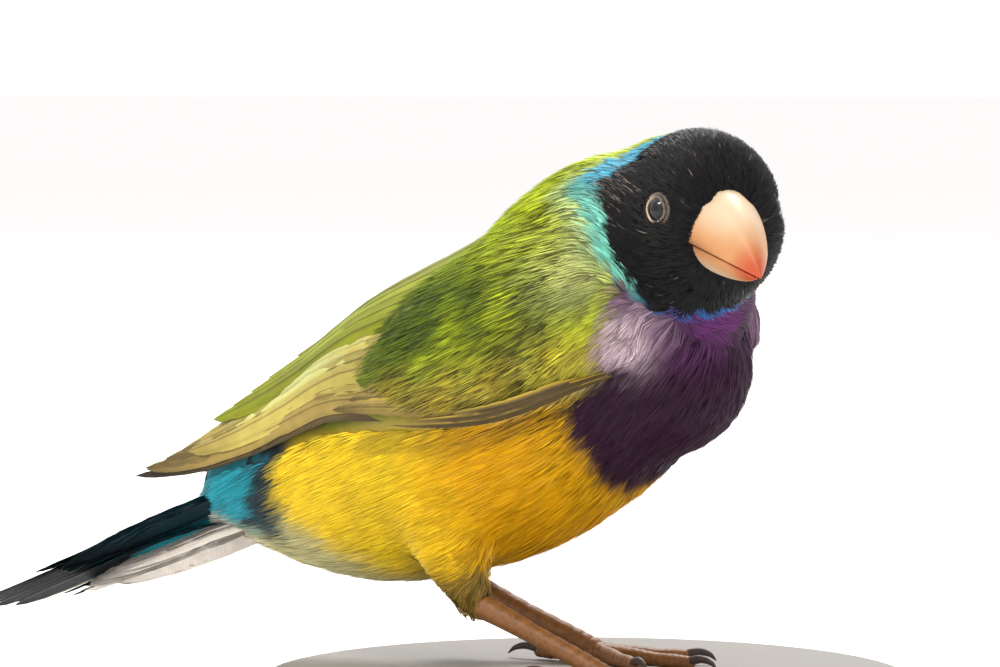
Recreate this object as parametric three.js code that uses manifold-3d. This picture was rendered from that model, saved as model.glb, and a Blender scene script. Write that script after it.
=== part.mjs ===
// A life-size gouldian finch, standing crouched on a small round display base, its head turned to its right.
// Millimetres, +Z up, +X towards the breast, +Y to the bird's left.
// The origin is the centre of the base's underside.

import * as THREE from "three";
import { mergeVertices } from "three/addons/utils/BufferGeometryUtils.js";
import Module from "manifold-3d";

const wasm = await Module();
wasm.setup();
const V = (x, y, z) => new THREE.Vector3(x, y, z);

// Driving sizes
const GAP = 0.3; // kept between neighbouring pieces
const BASE_RADIUS = 33;
const BASE_HEIGHT = 6;
const BASE_BEVEL = 1.2;
const SIDES = [["right", -1], ["left", 1]];

// The body is drawn from vertical sections: x, height of the back, height of the belly, half width.
// Heights are above the base's top.
const BODY_STATIONS = [
  { x: -54, back: 18.6, belly: 14.6, half: 2.4 },
  { x: -46, back: 21.0, belly: 13.2, half: 4.6 },
  { x: -38, back: 25.0, belly: 10.6, half: 7.4 },
  { x: -30, back: 30.0, belly: 8.4, half: 10.3 },
  { x: -22, back: 35.8, belly: 7.7, half: 12.6 },
  { x: -12, back: 41.0, belly: 9.4, half: 14.3 },
  { x: -3, back: 45.6, belly: 12.4, half: 15.0 },
  { x: 6, back: 47.0, belly: 18.2, half: 14.2 },
  { x: 12, back: 45.5, belly: 22.6, half: 12.4 },
  { x: 18, back: 42.0, belly: 27.5, half: 10.4 },
];
const CHEST_X = 17.2;
const RUMP_X = -46;
const CHEST_ROUNDING = 13;
const RUMP_ROUNDING = 5;
const WIDEST_SHARE = 0.5; // where the widest level lies, from belly to back

// The head's centre above the base's top, and its turn in degrees.
const HEAD = { x: 14.9, y: -3.5, z: 45.5, yaw: -42, pitch: -11 };
const HEAD_STATIONS = [
  { x: -9.6, top: 0.6, bottom: -1.0, half: 0.8 },
  { x: -8.2, top: 4.8, bottom: -4.8, half: 4.9 },
  { x: -5.2, top: 7.6, bottom: -7.6, half: 7.4 },
  { x: -1.2, top: 9.0, bottom: -9.0, half: 8.1 },
  { x: 2.8, top: 8.6, bottom: -8.8, half: 7.8 },
  { x: 5.8, top: 7.0, bottom: -7.6, half: 6.9 },
  { x: 7.9, top: 4.8, bottom: -6.0, half: 5.4 },
  { x: 9.0, top: 2.6, bottom: -4.4, half: 3.7 },
];
const NECK_STATIONS = [
  { x: -6, y: 0, z: 28.5, up: 13.6, side: 12.0 },
  { x: 3, y: -1, z: 36.2, up: 14.3, side: 12.8 },
  { x: 9.4, y: -2.4, z: 41.6, up: 12.6, side: 11.2 },
  { x: 14.4, y: -3.6, z: 45.4, up: 8.2, side: 7.8 },
];

const BILL = {
  baseX: 6.4, baseZ: -0.6, length: 11.9, half: 4.4, upper: 4.9, lower: 2.9, drop: 1.2,
  lowerShorter: 1.3, lowerShare: 0.93, tipTall: 0.28, tipHalf: 0.26, ridgeShare: 0.14, flat: 0.08,
};
const NOSTRIL = { x: 3.3, y: 1.75, z: 4.1, length: 0.6, radius: 0.42 };
const EYE = { x: 5.2, z: 2.2, radius: 1.75, sunk: 1.15, lidRadius: 1.85, lidThick: 0.42, lidSunk: 0.12 };
const HEAD_CUT = { x: -3.4, lean: 24 }; // the plane behind the cheeks, leaning forward at the throat

const WING_BEND_X = 12.6;
const VANE_THICK = 0.55;

// The arm under the coverts: start to end behind the bend, low to high over the side, thick to thin outwards.
const ARM = { start: -0.6, end: 27, low: 0.02, high: 0.76, ramp: 11, inner: 0, thick: 2.0, thin: 0.7 };
// The room that the whole wing takes, which is cut out of its neighbours.
const WING_ROOM = {
  start: -3.5, end: 67, low: -0.06, high: 0.94, ramp: 5, inner: -GAP, thick: 4.4, thin: 3.0,
};

const TAIL = { rootX: -40, rootZ: 15.6, slope: 21.3, rootHalf: 3.4 };

// The right leg; heights are above the base's top, and split is where the foot begins.
const HIP = { x: -11.5, y: 7.2, z: 16 };
const KNEE = { x: -9.6, y: 8.0, z: 10.8 };
const ANKLE = { x: -6.2, y: 8, z: 6.8 };
const HEEL_BACK = V(-0.9, 0, 0.2);
const FOOT = { x: 7.2, y: 8.6, z: 1.5, split: 3.2 };
const FAR_LEG_BACK = 11; // how far the left leg stands behind the right one
const THIGH_RADII = [5.8, 3.6, 1.75, 1.3];
const SHANK_RADII = [1.2, 1.25, 0.95, 0.95, 1.15];
const FOOT_PAD = { height: 1.3, length: 2.0, half: 1.6, rise: 1.2 };
const TOE_RADII = [0.94, 0.81, 0.72, 0.61];
const TOE_HEIGHTS = [1.3, 1.0, 0.8, 0.8];
const CLAW = { radii: [0.5, 0.4, 0.1], inset: 0.9, root: 0.85, arch: 1.25, tip: 0.5 };
// The inner, middle, outer and hind toe: degrees off straight ahead, length, and length of the claw.
const TOES = [
  { yaw: 34, length: 8.6, claw: 2.8 },
  { yaw: 4, length: 11.4, claw: 3.0 },
  { yaw: -26, length: 9.2, claw: 2.8 },
  { yaw: 178, length: 6.8, claw: 3.6 },
];

// Small tools

const radians = THREE.MathUtils.degToRad;

// Smooth value of one field of a list of stations at x.
function along(stations, field, x) {
  const last = stations.length - 1;
  if (x <= stations[0].x) return stations[0][field];
  if (x >= stations[last].x) return stations[last][field];
  let i = 0;
  while (x > stations[i + 1].x) i += 1;
  const slope = (a, b) => (stations[b][field] - stations[a][field]) / (stations[b].x - stations[a].x);
  const width = stations[i + 1].x - stations[i].x;
  const m0 = slope(Math.max(i - 1, 0), i + 1) * width;
  const m1 = slope(i, Math.min(i + 2, last)) * width;
  const t = (x - stations[i].x) / width;
  const [p0, p1] = [stations[i][field], stations[i + 1][field]];
  return (
    (2 * t ** 3 - 3 * t ** 2 + 1) * p0 + (t ** 3 - 2 * t ** 2 + t) * m0 +
    (3 * t ** 2 - 2 * t ** 3) * p1 + (t ** 3 - t ** 2) * m1
  );
}

// A closed skin over a list of rings of the same count.
// A fan closes each end, or on a bent sheet a ladder of faces.
function loft(rings, ladder = false) {
  const n = rings[0].length;
  const points = rings.flat();
  const index = [];
  for (let i = 0; i + 1 < rings.length; i += 1) {
    for (let j = 0; j < n; j += 1) {
      const a = i * n + j;
      const b = i * n + ((j + 1) % n);
      index.push(a, b, b + n, a, b + n, a + n);
    }
  }
  for (const [ring, start, turn] of [[rings[0], 0, 1], [rings.at(-1), (rings.length - 1) * n, 0]]) {
    if (ladder) {
      for (let j = 0; j + 1 < n / 2; j += 1) {
        const [a, b, c, d] = [start + j, start + j + 1, start + n - 2 - j, start + n - 1 - j];
        index.push(...(turn ? [a, c, b, a, d, c] : [a, b, c, a, c, d]));
      }
      continue;
    }
    const centre = ring.reduce((sum, p) => sum.add(p), V(0, 0, 0)).divideScalar(n);
    points.push(centre);
    for (let j = 0; j < n; j += 1) {
      const [a, b] = [start + j, start + ((j + 1) % n)];
      index.push(points.length - 1, turn ? b : a, turn ? a : b);
    }
  }
  const g = new THREE.BufferGeometry().setFromPoints(points);
  g.setIndex(index);
  return g;
}

function signedVolume(position, index) {
  const [a, b, c] = [V(), V(), V()];
  let sum = 0;
  for (let i = 0; i < index.length; i += 3) {
    a.fromArray(position, index[i] * 3);
    b.fromArray(position, index[i + 1] * 3);
    c.fromArray(position, index[i + 2] * 3);
    sum += a.dot(b.cross(c));
  }
  return sum;
}

// A closed geometry as a solid that can be joined and cut.
function solid(geometry) {
  const bare = new THREE.BufferGeometry();
  bare.setAttribute("position", geometry.getAttribute("position"));
  if (geometry.index) bare.setIndex(geometry.index);
  const merged = mergeVertices(bare, 1e-4);
  const position = merged.attributes.position.array;
  const triVerts = new Uint32Array(merged.index.array);
  if (signedVolume(position, triVerts) < 0) {
    for (let i = 0; i < triVerts.length; i += 3) {
      [triVerts[i + 1], triVerts[i + 2]] = [triVerts[i + 2], triVerts[i + 1]];
    }
  }
  const mesh = new wasm.Mesh({ numProp: 3, vertProperties: new Float32Array(position), triVerts });
  return new wasm.Manifold(mesh);
}

const join = (solids) => solids.reduce((sum, s) => sum.add(s));
// The main body of a cut or joined solid, without the scraps that cutting leaves.
const largest = (s) => s.decompose().reduce((best, b) => (b.volume() > best.volume() ? b : best));

// The two parts of a solid on either side of a plane, half a gap back from it.
function halves(whole, point, normal) {
  const reach = point.dot(normal);
  return {
    front: largest(whole.trimByPlane(normal.toArray(), reach + GAP / 2)),
    rear: largest(whole.trimByPlane(normal.clone().negate().toArray(), GAP / 2 - reach)),
  };
}

function geometryOf(s) {
  const mesh = s.getMesh();
  const points = new Float32Array(mesh.numVert * 3);
  for (let i = 0; i < mesh.numVert; i += 1) {
    points.set(mesh.vertProperties.subarray(i * mesh.numProp, i * mesh.numProp + 3), i * 3);
  }
  const g = new THREE.BufferGeometry();
  g.setAttribute("position", new THREE.BufferAttribute(points, 3));
  g.setIndex(new THREE.BufferAttribute(new Uint32Array(mesh.triVerts), 1));
  g.computeVertexNormals();
  return g;
}

const ellipsoid = (centre, rx, ry, rz, across = 14, down = 10) =>
  new THREE.SphereGeometry(1, across, down).scale(rx, ry, rz).translate(centre.x, centre.y, centre.z);

// A round limb along a smooth path, with radii at even steps along it.
function limb(points, radii, steps, sides) {
  const path = new THREE.CatmullRomCurve3(points, false, "centripetal");
  const rings = [];
  for (let i = 0; i <= steps; i += 1) {
    const t = i / steps;
    const centre = path.getPoint(t);
    const tangent = path.getTangent(t);
    const across = V(0, 1, 0).cross(tangent).length() > 0.3 ? V(0, 1, 0) : V(1, 0, 0);
    const up = tangent.clone().cross(across).normalize();
    across.crossVectors(up, tangent).normalize();
    const place = t * (radii.length - 1);
    const k = Math.min(Math.floor(place), radii.length - 2);
    const r = THREE.MathUtils.lerp(radii[k], radii[k + 1], place - k);
    rings.push(Array.from({ length: sides }, (_, j) => {
      const a = (j / sides) * Math.PI * 2;
      return centre.clone().addScaledVector(across, Math.cos(a) * r).addScaledVector(up, Math.sin(a) * r);
    }));
  }
  return loft(rings);
}

// The body's own surface

// A point of the envelope at x and an angle from the back (0) down its side to the belly (180).
function bodyPoint(x, degrees, side, outset = 0) {
  const back = along(BODY_STATIONS, "back", x);
  const belly = along(BODY_STATIONS, "belly", x);
  const half = along(BODY_STATIONS, "half", x);
  const level = belly + WIDEST_SHARE * (back - belly);
  const a = radians(degrees);
  const rise = Math.cos(a) > 0 ? back - level : level - belly;
  return V(x, side * (half + outset) * Math.sin(a), BASE_HEIGHT + level + (rise + outset) * Math.cos(a));
}

function torsoGeometry(outset = 0) {
  const rings = [];
  const sides = 24;
  const steps = 18;
  for (let i = 0; i <= steps; i += 1) {
    const s = (1 - Math.cos((Math.PI * i) / steps)) / 2;
    const x = THREE.MathUtils.lerp(RUMP_X, CHEST_X, THREE.MathUtils.lerp(i / steps, s, 0.75));
    const front = Math.min(1, (CHEST_X - x) / CHEST_ROUNDING);
    const rear = Math.min(1, (x - RUMP_X) / RUMP_ROUNDING);
    const round = Math.max(0.05, Math.sqrt(1 - (1 - front) ** 2) * Math.sqrt(1 - (1 - rear) ** 2));
    const centre = V(x, 0, (bodyPoint(x, 0, 1).z + bodyPoint(x, 180, 1).z) / 2);
    rings.push(Array.from({ length: sides }, (_, j) => {
      const degrees = (j / sides) * 360;
      const p = bodyPoint(x, degrees > 180 ? 360 - degrees : degrees, degrees > 180 ? -1 : 1, outset);
      return p.sub(centre).multiplyScalar(round).add(centre);
    }));
  }
  for (const p of rings[0]) p.x -= outset;
  for (const p of rings.at(-1)) p.x += outset;
  return loft(rings);
}

function neckGeometry() {
  const path = new THREE.CatmullRomCurve3(NECK_STATIONS.map((s) => V(s.x, s.y, s.z + BASE_HEIGHT)));
  const rings = [];
  const steps = 9;
  const sides = 22;
  for (let i = 0; i <= steps; i += 1) {
    const t = i / steps;
    const place = t * (NECK_STATIONS.length - 1);
    const k = Math.min(Math.floor(place), NECK_STATIONS.length - 2);
    const [near, next] = [NECK_STATIONS[k], NECK_STATIONS[k + 1]];
    const mix = (field) => THREE.MathUtils.lerp(near[field], next[field], place - k);
    const tangent = path.getTangent(t);
    const across = V(0, 0, 1).cross(tangent).normalize();
    const up = tangent.clone().cross(across);
    rings.push(Array.from({ length: sides }, (_, j) => {
      const a = (j / sides) * Math.PI * 2;
      const p = path.getPoint(t).addScaledVector(across, Math.cos(a) * mix("side"));
      return p.addScaledVector(up, Math.sin(a) * mix("up"));
    }));
  }
  return loft(rings);
}

// The head, in its own frame: x to the bill, y to the left, z up

const headPlace = new THREE.Matrix4()
  .makeTranslation(HEAD.x, HEAD.y, HEAD.z + BASE_HEIGHT)
  .multiply(new THREE.Matrix4().makeRotationZ(radians(HEAD.yaw)))
  .multiply(new THREE.Matrix4().makeRotationY(radians(-HEAD.pitch)));
const inHead = (geometry) => geometry.clone().applyMatrix4(headPlace);

function skullSection(x) {
  const top = along(HEAD_STATIONS, "top", x);
  const bottom = along(HEAD_STATIONS, "bottom", x);
  return { level: (top + bottom) / 2, rise: (top - bottom) / 2, half: along(HEAD_STATIONS, "half", x) };
}

function skullGeometry(outset = 0) {
  const steps = 14;
  const sides = 24;
  const [first, last] = [HEAD_STATIONS[0].x, HEAD_STATIONS.at(-1).x];
  const rings = [];
  for (let i = 0; i <= steps; i += 1) {
    const x = THREE.MathUtils.lerp(first, last, i / steps);
    const { level, rise, half } = skullSection(x);
    rings.push(Array.from({ length: sides }, (_, j) => {
      const a = (j / sides) * Math.PI * 2;
      return V(x, (half + outset) * Math.sin(a), level + (rise + outset) * Math.cos(a));
    }));
  }
  for (const p of rings[0]) p.x -= outset;
  for (const p of rings.at(-1)) p.x += outset;
  return loft(rings);
}

// Where the skin of the head lies at x and z, and which way it faces.
function cheek(x, z, side) {
  const { level, rise, half } = skullSection(x);
  const reach = (at, height) => {
    const s = skullSection(at);
    return s.half * Math.sqrt(Math.max(0, 1 - ((height - s.level) / s.rise) ** 2));
  };
  const y = half * Math.sqrt(Math.max(0, 1 - ((z - level) / rise) ** 2));
  const step = 0.4;
  const slopeX = (reach(x + step, z) - reach(x - step, z)) / (2 * step);
  const slopeZ = (reach(x, z + step) - reach(x, z - step)) / (2 * step);
  return { point: V(x, side * y, z), normal: V(-slopeX, side, -slopeZ).normalize() };
}

// One half of the bill: sections shrink along a gently falling edge to the tip.
// Lift is 1 for the upper half and -1 for the lower.
function billGeometry(lift) {
  const steps = 9;
  const sides = 16;
  const length = lift > 0 ? BILL.length : BILL.length - BILL.lowerShorter;
  const height = lift > 0 ? BILL.upper : BILL.lower;
  const broad = lift > 0 ? BILL.half : BILL.half * BILL.lowerShare;
  const rings = [];
  for (let i = 0; i <= steps; i += 1) {
    const t = i / steps;
    const tall = Math.max(BILL.tipTall, height * (1 - t ** 1.9) ** 0.85);
    const half = Math.max(BILL.tipHalf, broad * (1 - t ** 1.35) ** 0.92);
    const edge = BILL.baseZ - BILL.drop * t ** 1.7 + (lift * GAP) / 2;
    rings.push(Array.from({ length: sides }, (_, j) => {
      const a = (j / sides) * Math.PI * 2;
      const rise = Math.max(0, Math.sin(a));
      // The flat of each half bulges a little, so that no face folds on itself.
      const bulge = BILL.flat * Math.min(0, Math.sin(a));
      const y = half * Math.cos(a) * (1 - BILL.ridgeShare * rise);
      return V(BILL.baseX + t * length, y, edge + lift * (tall * rise + bulge));
    }));
  }
  return loft(rings);
}

function makeHead(cutters) {
  let whole = solid(inHead(skullGeometry())).add(solid(neckGeometry()));
  for (const cutter of cutters) whole = whole.subtract(cutter);
  const eyes = SIDES.map(([name, side]) => {
    const { point, normal } = cheek(EYE.x, EYE.z, side);
    const centre = point.clone().addScaledVector(normal, -EYE.sunk);
    const turn = new THREE.Matrix4().makeRotationFromQuaternion(
      new THREE.Quaternion().setFromUnitVectors(V(0, 0, 1), normal));
    const lid = new THREE.TorusGeometry(EYE.lidRadius, EYE.lidThick, 6, 16)
      .applyMatrix4(turn).translate(...point.clone().addScaledVector(normal, -EYE.lidSunk).toArray());
    whole = whole.add(solid(inHead(lid)));
    const socket = EYE.radius + GAP;
    whole = whole.subtract(solid(inHead(ellipsoid(centre, socket, socket, socket))));
    return [name, solid(inHead(ellipsoid(centre, EYE.radius, EYE.radius, EYE.radius)))];
  });
  const lean = radians(HEAD_CUT.lean);
  const forward = V(Math.cos(lean), 0, Math.sin(lean)).transformDirection(headPlace);
  const { front: face, rear: neck } = halves(whole, V(HEAD_CUT.x, 0, 0).applyMatrix4(headPlace), forward);
  const skin = solid(inHead(skullGeometry(GAP)));
  const bill = [1, -1].map((lift) => {
    let half = solid(inHead(billGeometry(lift))).subtract(skin);
    if (lift > 0) {
      for (const [, side] of SIDES) {
        const middle = V(BILL.baseX + NOSTRIL.x, side * NOSTRIL.y, BILL.baseZ + NOSTRIL.z);
        const pit = ellipsoid(middle, NOSTRIL.length, NOSTRIL.radius, NOSTRIL.radius, 10, 6);
        half = half.subtract(solid(inHead(pit)));
      }
    }
    return largest(half);
  });
  return { face, neck, bill, eyes };
}

// Wings

// A point over the wing: run is the distance behind the bend along x, slip goes from 0 at the lower edge
// to 1 near the spine.
function wingPoint(run, slip, side, lift) {
  const low = 106 - 27 * THREE.MathUtils.smoothstep(run, 8, 42);
  return bodyPoint(WING_BEND_X - run, THREE.MathUtils.lerp(low, 15, slip), side, GAP + lift);
}

// A feather: a thin strip from root to tip over a surface, its outer edge lifted over the next feather.
// It narrows past its blunt share to its slender one.
function vane({ from, to, width, lift, tilt, side, place, blunt, slender }) {
  const rings = [];
  const steps = 4;
  const slope = (to.slip - from.slip) / (to.run - from.run);
  for (let i = 0; i <= steps; i += 1) {
    const t = i / steps;
    const tip = t < blunt ? 1 : Math.max(slender, Math.sqrt(1 - ((t - blunt) / (1 - blunt)) ** 2));
    const half = (width / 2) * THREE.MathUtils.lerp(0.7, 1, Math.min(1, t / 0.3)) * tip;
    const run = THREE.MathUtils.lerp(from.run, to.run, t);
    const slip = THREE.MathUtils.lerp(from.slip, to.slip, t);
    const rise = THREE.MathUtils.lerp(from.lift, lift, Math.min(1, t / 0.4));
    const onward = 0.5;
    const centre = place(run, slip, side, rise);
    const ahead = place(run + onward, slip + slope * onward, side, rise);
    const tangent = ahead.sub(centre).normalize();
    const normal = place(run, slip, side, rise + onward).sub(centre).normalize();
    const across = tangent.clone().cross(normal).multiplyScalar(side).normalize();
    normal.crossVectors(across, tangent).multiplyScalar(side).normalize();
    const lean = Math.tan(radians(tilt));
    const skin = (VANE_THICK / 2) * THREE.MathUtils.lerp(1, 0.85, t);
    rings.push([[-1, 1], [1, 1], [1, -1], [-1, -1]].map(([a, h]) =>
      centre.clone().addScaledVector(across, a * half).addScaledVector(normal, h * skin + a * half * lean)));
  }
  return loft(rings);
}

const WING_TILT = 12;
const WING_SLENDER = 0.15;
const ROOT_LIFT = 0.5;
// Each tier: how many feathers, and the run, slip, width and lift of its first and last one.
const WING_TIERS = [
  // Primaries, the longest crowded to the lower edge
  { count: 6, rootRun: [24, 20], rootSlip: [0.07, 0.26], tipRun: [64, 45], tipSlip: [0.06, 0.3],
    bow: 0.75, width: [4.2, 4.8], lift: [0.85, 1.0], blunt: 0.55 },
  // Secondaries
  { count: 4, rootRun: [17, 13], rootSlip: [0.3, 0.55], tipRun: [47, 44], tipSlip: [0.36, 0.62],
    bow: 1, width: [5.4, 5.6], lift: [1.0, 1.15], blunt: 0.7 },
  // Tertials
  { count: 3, rootRun: [15, 13], rootSlip: [0.56, 0.7], tipRun: [43, 31], tipSlip: [0.7, 0.84],
    bow: 1, width: [5.6, 5.2], lift: [1.25, 1.4], blunt: 0.6 },
  // Primary coverts
  { count: 2, rootRun: [13, 11], rootSlip: [0.05, 0.16], tipRun: [31, 27], tipSlip: [0.05, 0.17],
    bow: 1, width: [3.0, 3.4], lift: [1.35, 1.5], blunt: 0.5 },
  // Greater coverts
  { count: 5, rootRun: [9, 5], rootSlip: [0.22, 0.68], tipRun: [25, 20], tipSlip: [0.24, 0.72],
    bow: 1, width: [4.6, 5.2], lift: [1.6, 1.75], blunt: 0.6 },
  // Alula
  { count: 2, rootRun: [6, 5], rootSlip: [0.05, 0.12], tipRun: [19, 16], tipSlip: [0.03, 0.1],
    bow: 1, width: [2.6, 2.8], lift: [1.75, 1.9], blunt: 0.5 },
  // Median coverts
  { count: 3, rootRun: [4, 1], rootSlip: [0.22, 0.58], tipRun: [15.5, 11.5], tipSlip: [0.22, 0.62],
    bow: 1, width: [5.6, 6.0], lift: [2.05, 2.15], blunt: 0.55 },
];

// The fleshy arm under the coverts and the sheet of skin that holds the flight feathers' roots.
function armGeometry(side, { start, end, low, high, ramp, inner, thick, thin }) {
  const rings = [];
  const steps = 10;
  const across = 6;
  for (let i = 0; i <= steps; i += 1) {
    const t = i / steps;
    const run = THREE.MathUtils.lerp(start, end, t);
    const front = Math.sqrt(Math.min(1, (run - start) / 4.4 + 0.04));
    const top = THREE.MathUtils.lerp(low + 0.3, high, Math.min(1, (run - start) / ramp + 0.25));
    const depth = THREE.MathUtils.lerp(thick, thin, THREE.MathUtils.smoothstep(run, 8, end)) * front;
    const outer = [];
    const under = [];
    for (let j = 0; j <= across; j += 1) {
      const k = j / across;
      const slip = THREE.MathUtils.lerp(low, top, k);
      const swell = Math.max(0.3, Math.sqrt(Math.max(0, 1 - (2 * k - 1) ** 4)));
      outer.push(wingPoint(run, slip, side, inner + depth * swell));
      under.unshift(wingPoint(run, slip, side, inner));
    }
    rings.push([...outer, ...under]);
  }
  return loft(rings, true);
}

function makeWing(side, torsoCutter) {
  const pieces = [solid(armGeometry(side, ARM))];
  for (const tier of WING_TIERS) {
    for (let i = 0; i < tier.count; i += 1) {
      const t = i / (tier.count - 1);
      const mix = ([a, b], k = t) => THREE.MathUtils.lerp(a, b, k);
      pieces.push(solid(vane({
        from: { run: mix(tier.rootRun), slip: mix(tier.rootSlip), lift: ROOT_LIFT },
        to: { run: mix(tier.tipRun, t ** tier.bow), slip: mix(tier.tipSlip) },
        width: mix(tier.width), lift: mix(tier.lift), tilt: WING_TILT, side, place: wingPoint,
        blunt: tier.blunt, slender: WING_SLENDER,
      })));
    }
  }
  return largest(join(pieces).subtract(torsoCutter));
}

// Tail

// A point over the tail: run is the distance behind its root, slip is 0 at the middle and 1 at the edge.
function tailPoint(run, slip, side, lift) {
  const a = radians(TAIL.slope);
  const half = TAIL.rootHalf + run * 0.045;
  const y = side * slip * half;
  const sag = 0.055 * y * y;
  return V(TAIL.rootX - run * Math.cos(a) + lift * -Math.sin(a), y,
    BASE_HEIGHT + TAIL.rootZ - run * Math.sin(a) + (lift - sag) * Math.cos(a));
}

const TAIL_TILT = -8;
const TAIL_ROOT_BODY = { run: 1.5, lift: -0.3, length: 6.5, half: 3.9, rise: 2.5 };
const TAIL_PAIRS = [
  { length: 52, slip: 0.16, width: 3.2, lift: 1.1, blunt: 0.2, slender: 0.16 },
  { length: 37, slip: 0.34, width: 4.0, lift: 0.75, blunt: 0.7, slender: 0.3 },
  { length: 35, slip: 0.5, width: 4.0, lift: 0.45, blunt: 0.72, slender: 0.3 },
  { length: 33, slip: 0.66, width: 3.9, lift: 0.15, blunt: 0.72, slender: 0.3 },
  { length: 31, slip: 0.82, width: 3.8, lift: -0.15, blunt: 0.72, slender: 0.3 },
  { length: 29, slip: 0.98, width: 3.6, lift: -0.45, blunt: 0.72, slender: 0.3 },
];
// Those that lift above the tail's own sheet cover its top, the others its underside.
const TAIL_COVERTS = [
  { length: 17, slip: 0, width: 4.6, lift: 1.9, blunt: 0.5, slender: 0.2 },
  { length: 14, slip: 0.5, width: 4.2, lift: 1.5, blunt: 0.5, slender: 0.2 },
  { length: 22, slip: 0.12, width: 5.2, lift: -1.9, blunt: 0.5, slender: 0.2 },
  { length: 18, slip: 0.55, width: 4.8, lift: -1.6, blunt: 0.5, slender: 0.2 },
];

function makeTail(cutters) {
  const { run, lift, length, half, rise } = TAIL_ROOT_BODY;
  const root = ellipsoid(V(0, 0, 0), length, half, rise).rotateY(radians(-TAIL.slope));
  const pieces = [solid(root.translate(...tailPoint(run, 0, 1, lift).toArray()))];
  for (const pair of [...TAIL_PAIRS, ...TAIL_COVERTS]) {
    for (const [, side] of pair.slip === 0 ? [SIDES[0]] : SIDES) {
      pieces.push(solid(vane({
        from: { run: 0.5, slip: pair.slip * 0.7, lift: pair.lift * 0.6 },
        to: { run: pair.length, slip: pair.slip },
        width: pair.width, lift: pair.lift, tilt: TAIL_TILT, side, place: tailPoint,
        blunt: pair.blunt, slender: pair.slender,
      })));
    }
  }
  let tail = join(pieces);
  for (const cutter of cutters) tail = tail.subtract(cutter);
  return largest(tail);
}

// Legs

// A toe with its claw, that lies on the base from the foot along a heading.
function makeToe(foot, heading, { length, claw }) {
  const at = (reach, height) => foot.clone().addScaledVector(heading, reach).setZ(BASE_HEIGHT + height);
  const joints = TOE_HEIGHTS.map((height, i) => at((length * i) / (TOE_HEIGHTS.length - 1), height));
  const end = length + claw;
  const nail = [at(length - CLAW.inset, CLAW.root), at(end - claw / 2, CLAW.arch), at(end, CLAW.tip)];
  return solid(limb(joints, TOE_RADII, 5, 7)).add(solid(limb(nail, CLAW.radii, 3, 5)));
}

function makeLeg(side, torsoCutter) {
  const back = side > 0 ? FAR_LEG_BACK : 0;
  const onLeg = ({ x, y, z }, behind = back) => V(x - behind, side * y, BASE_HEIGHT + z);
  const [hip, knee, ankle, foot] = [onLeg(HIP, 0), onLeg(KNEE), onLeg(ANKLE), onLeg(FOOT)];
  const heel = ankle.clone().add(HEEL_BACK);
  const thighFlesh = solid(limb([hip, knee, heel, ankle], THIGH_RADII, 10, 12));
  const shankFlesh = solid(limb([heel, ankle, foot], SHANK_RADII, 10, 10));
  const middle = foot.clone().setZ(BASE_HEIGHT + FOOT_PAD.height);
  const pad = solid(ellipsoid(middle, FOOT_PAD.length, FOOT_PAD.half, FOOT_PAD.rise, 10, 7));
  const toes = TOES.map((toe) => {
    const a = radians(toe.yaw * -side);
    return makeToe(foot, V(Math.cos(a), Math.sin(a), 0), toe);
  });
  const down = foot.clone().sub(ankle).normalize();
  const ankleSplit = ankle.clone().add(heel).multiplyScalar(0.5);
  const { rear: thigh } = halves(thighFlesh.subtract(torsoCutter), ankleSplit, down);
  const { front: lower } = halves(shankFlesh, ankleSplit, down);
  const footSplit = foot.clone().addScaledVector(down, -FOOT.split);
  const { rear: tarsus } = halves(lower, footSplit, down);
  const stub = halves(shankFlesh, footSplit, down).front;
  const ground = [[0, 0, 1], BASE_HEIGHT + GAP];
  return { thigh, tarsus, foot: largest(join([pad, stub, ...toes]).trimByPlane(...ground)) };
}

// The parts put together

const round = (rings) => new THREE.LatheGeometry(rings.map(([r, z]) => new THREE.Vector2(r, z)), 48)
  .rotateX(Math.PI / 2);
const baseGeometry = () => round([
  [0, 0], [BASE_RADIUS, 0], [BASE_RADIUS, BASE_HEIGHT - BASE_BEVEL],
  [BASE_RADIUS - BASE_BEVEL, BASE_HEIGHT], [0, BASE_HEIGHT],
]);

const paint = (color, roughness = 0.8) => new THREE.MeshStandardMaterial({ color, roughness });
const MATERIALS = {
  plumage_lime: paint(0xa9b23a),
  plumage_mask: paint(0x17161a),
  plumage_olive: paint(0x8d8a3c),
  plumage_tail: paint(0x20262a),
  plumage_gold: paint(0xd2ab35),
  bill_horn: paint(0xe0c4ab, 0.35),
  eye_dark: paint(0x120d0b, 0.05),
  leg_scale: paint(0x9c7563, 0.55),
  stand_paint: paint(0x6c6a66, 0.5),
};

const part = new THREE.Group();
part.name = "gouldian_finch";

function place(name, manifold, material) {
  const mesh = new THREE.Mesh(geometryOf(manifold), MATERIALS[material]);
  mesh.name = name;
  mesh.material.name = material;
  part.add(mesh);
  return mesh;
}

const torsoCutter = solid(torsoGeometry(GAP));
const wingCutters = SIDES.map(([, side]) => solid(armGeometry(side, WING_ROOM)));
const legs = SIDES.map(([name, side]) => ({ name, ...makeLeg(side, torsoCutter) }));
const { face, neck, bill, eyes } = makeHead([torsoCutter, ...wingCutters]);

place("stand_base", solid(baseGeometry()), "stand_paint");
place("torso", solid(torsoGeometry()), "plumage_gold");
place("neck", neck, "plumage_lime");
place("head", face, "plumage_mask");
place("bill_upper", bill[0], "bill_horn");
place("bill_lower", bill[1], "bill_horn");
for (const [name, eye] of eyes) place(`eye_${name}`, eye, "eye_dark");
const wing = makeWing(-1, torsoCutter);
place("wing_right", wing, "plumage_olive");
place("wing_left", wing, "plumage_olive").scale.y = -1; // the same wing, mirrored
place("tail", makeTail([torsoCutter, ...wingCutters]), "plumage_tail");
for (const leg of legs) {
  place(`thigh_${leg.name}`, leg.thigh, "plumage_gold");
  place(`tarsus_${leg.name}`, leg.tarsus, "leg_scale");
  place(`foot_${leg.name}`, leg.foot, "leg_scale");
}

export default part;
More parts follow.
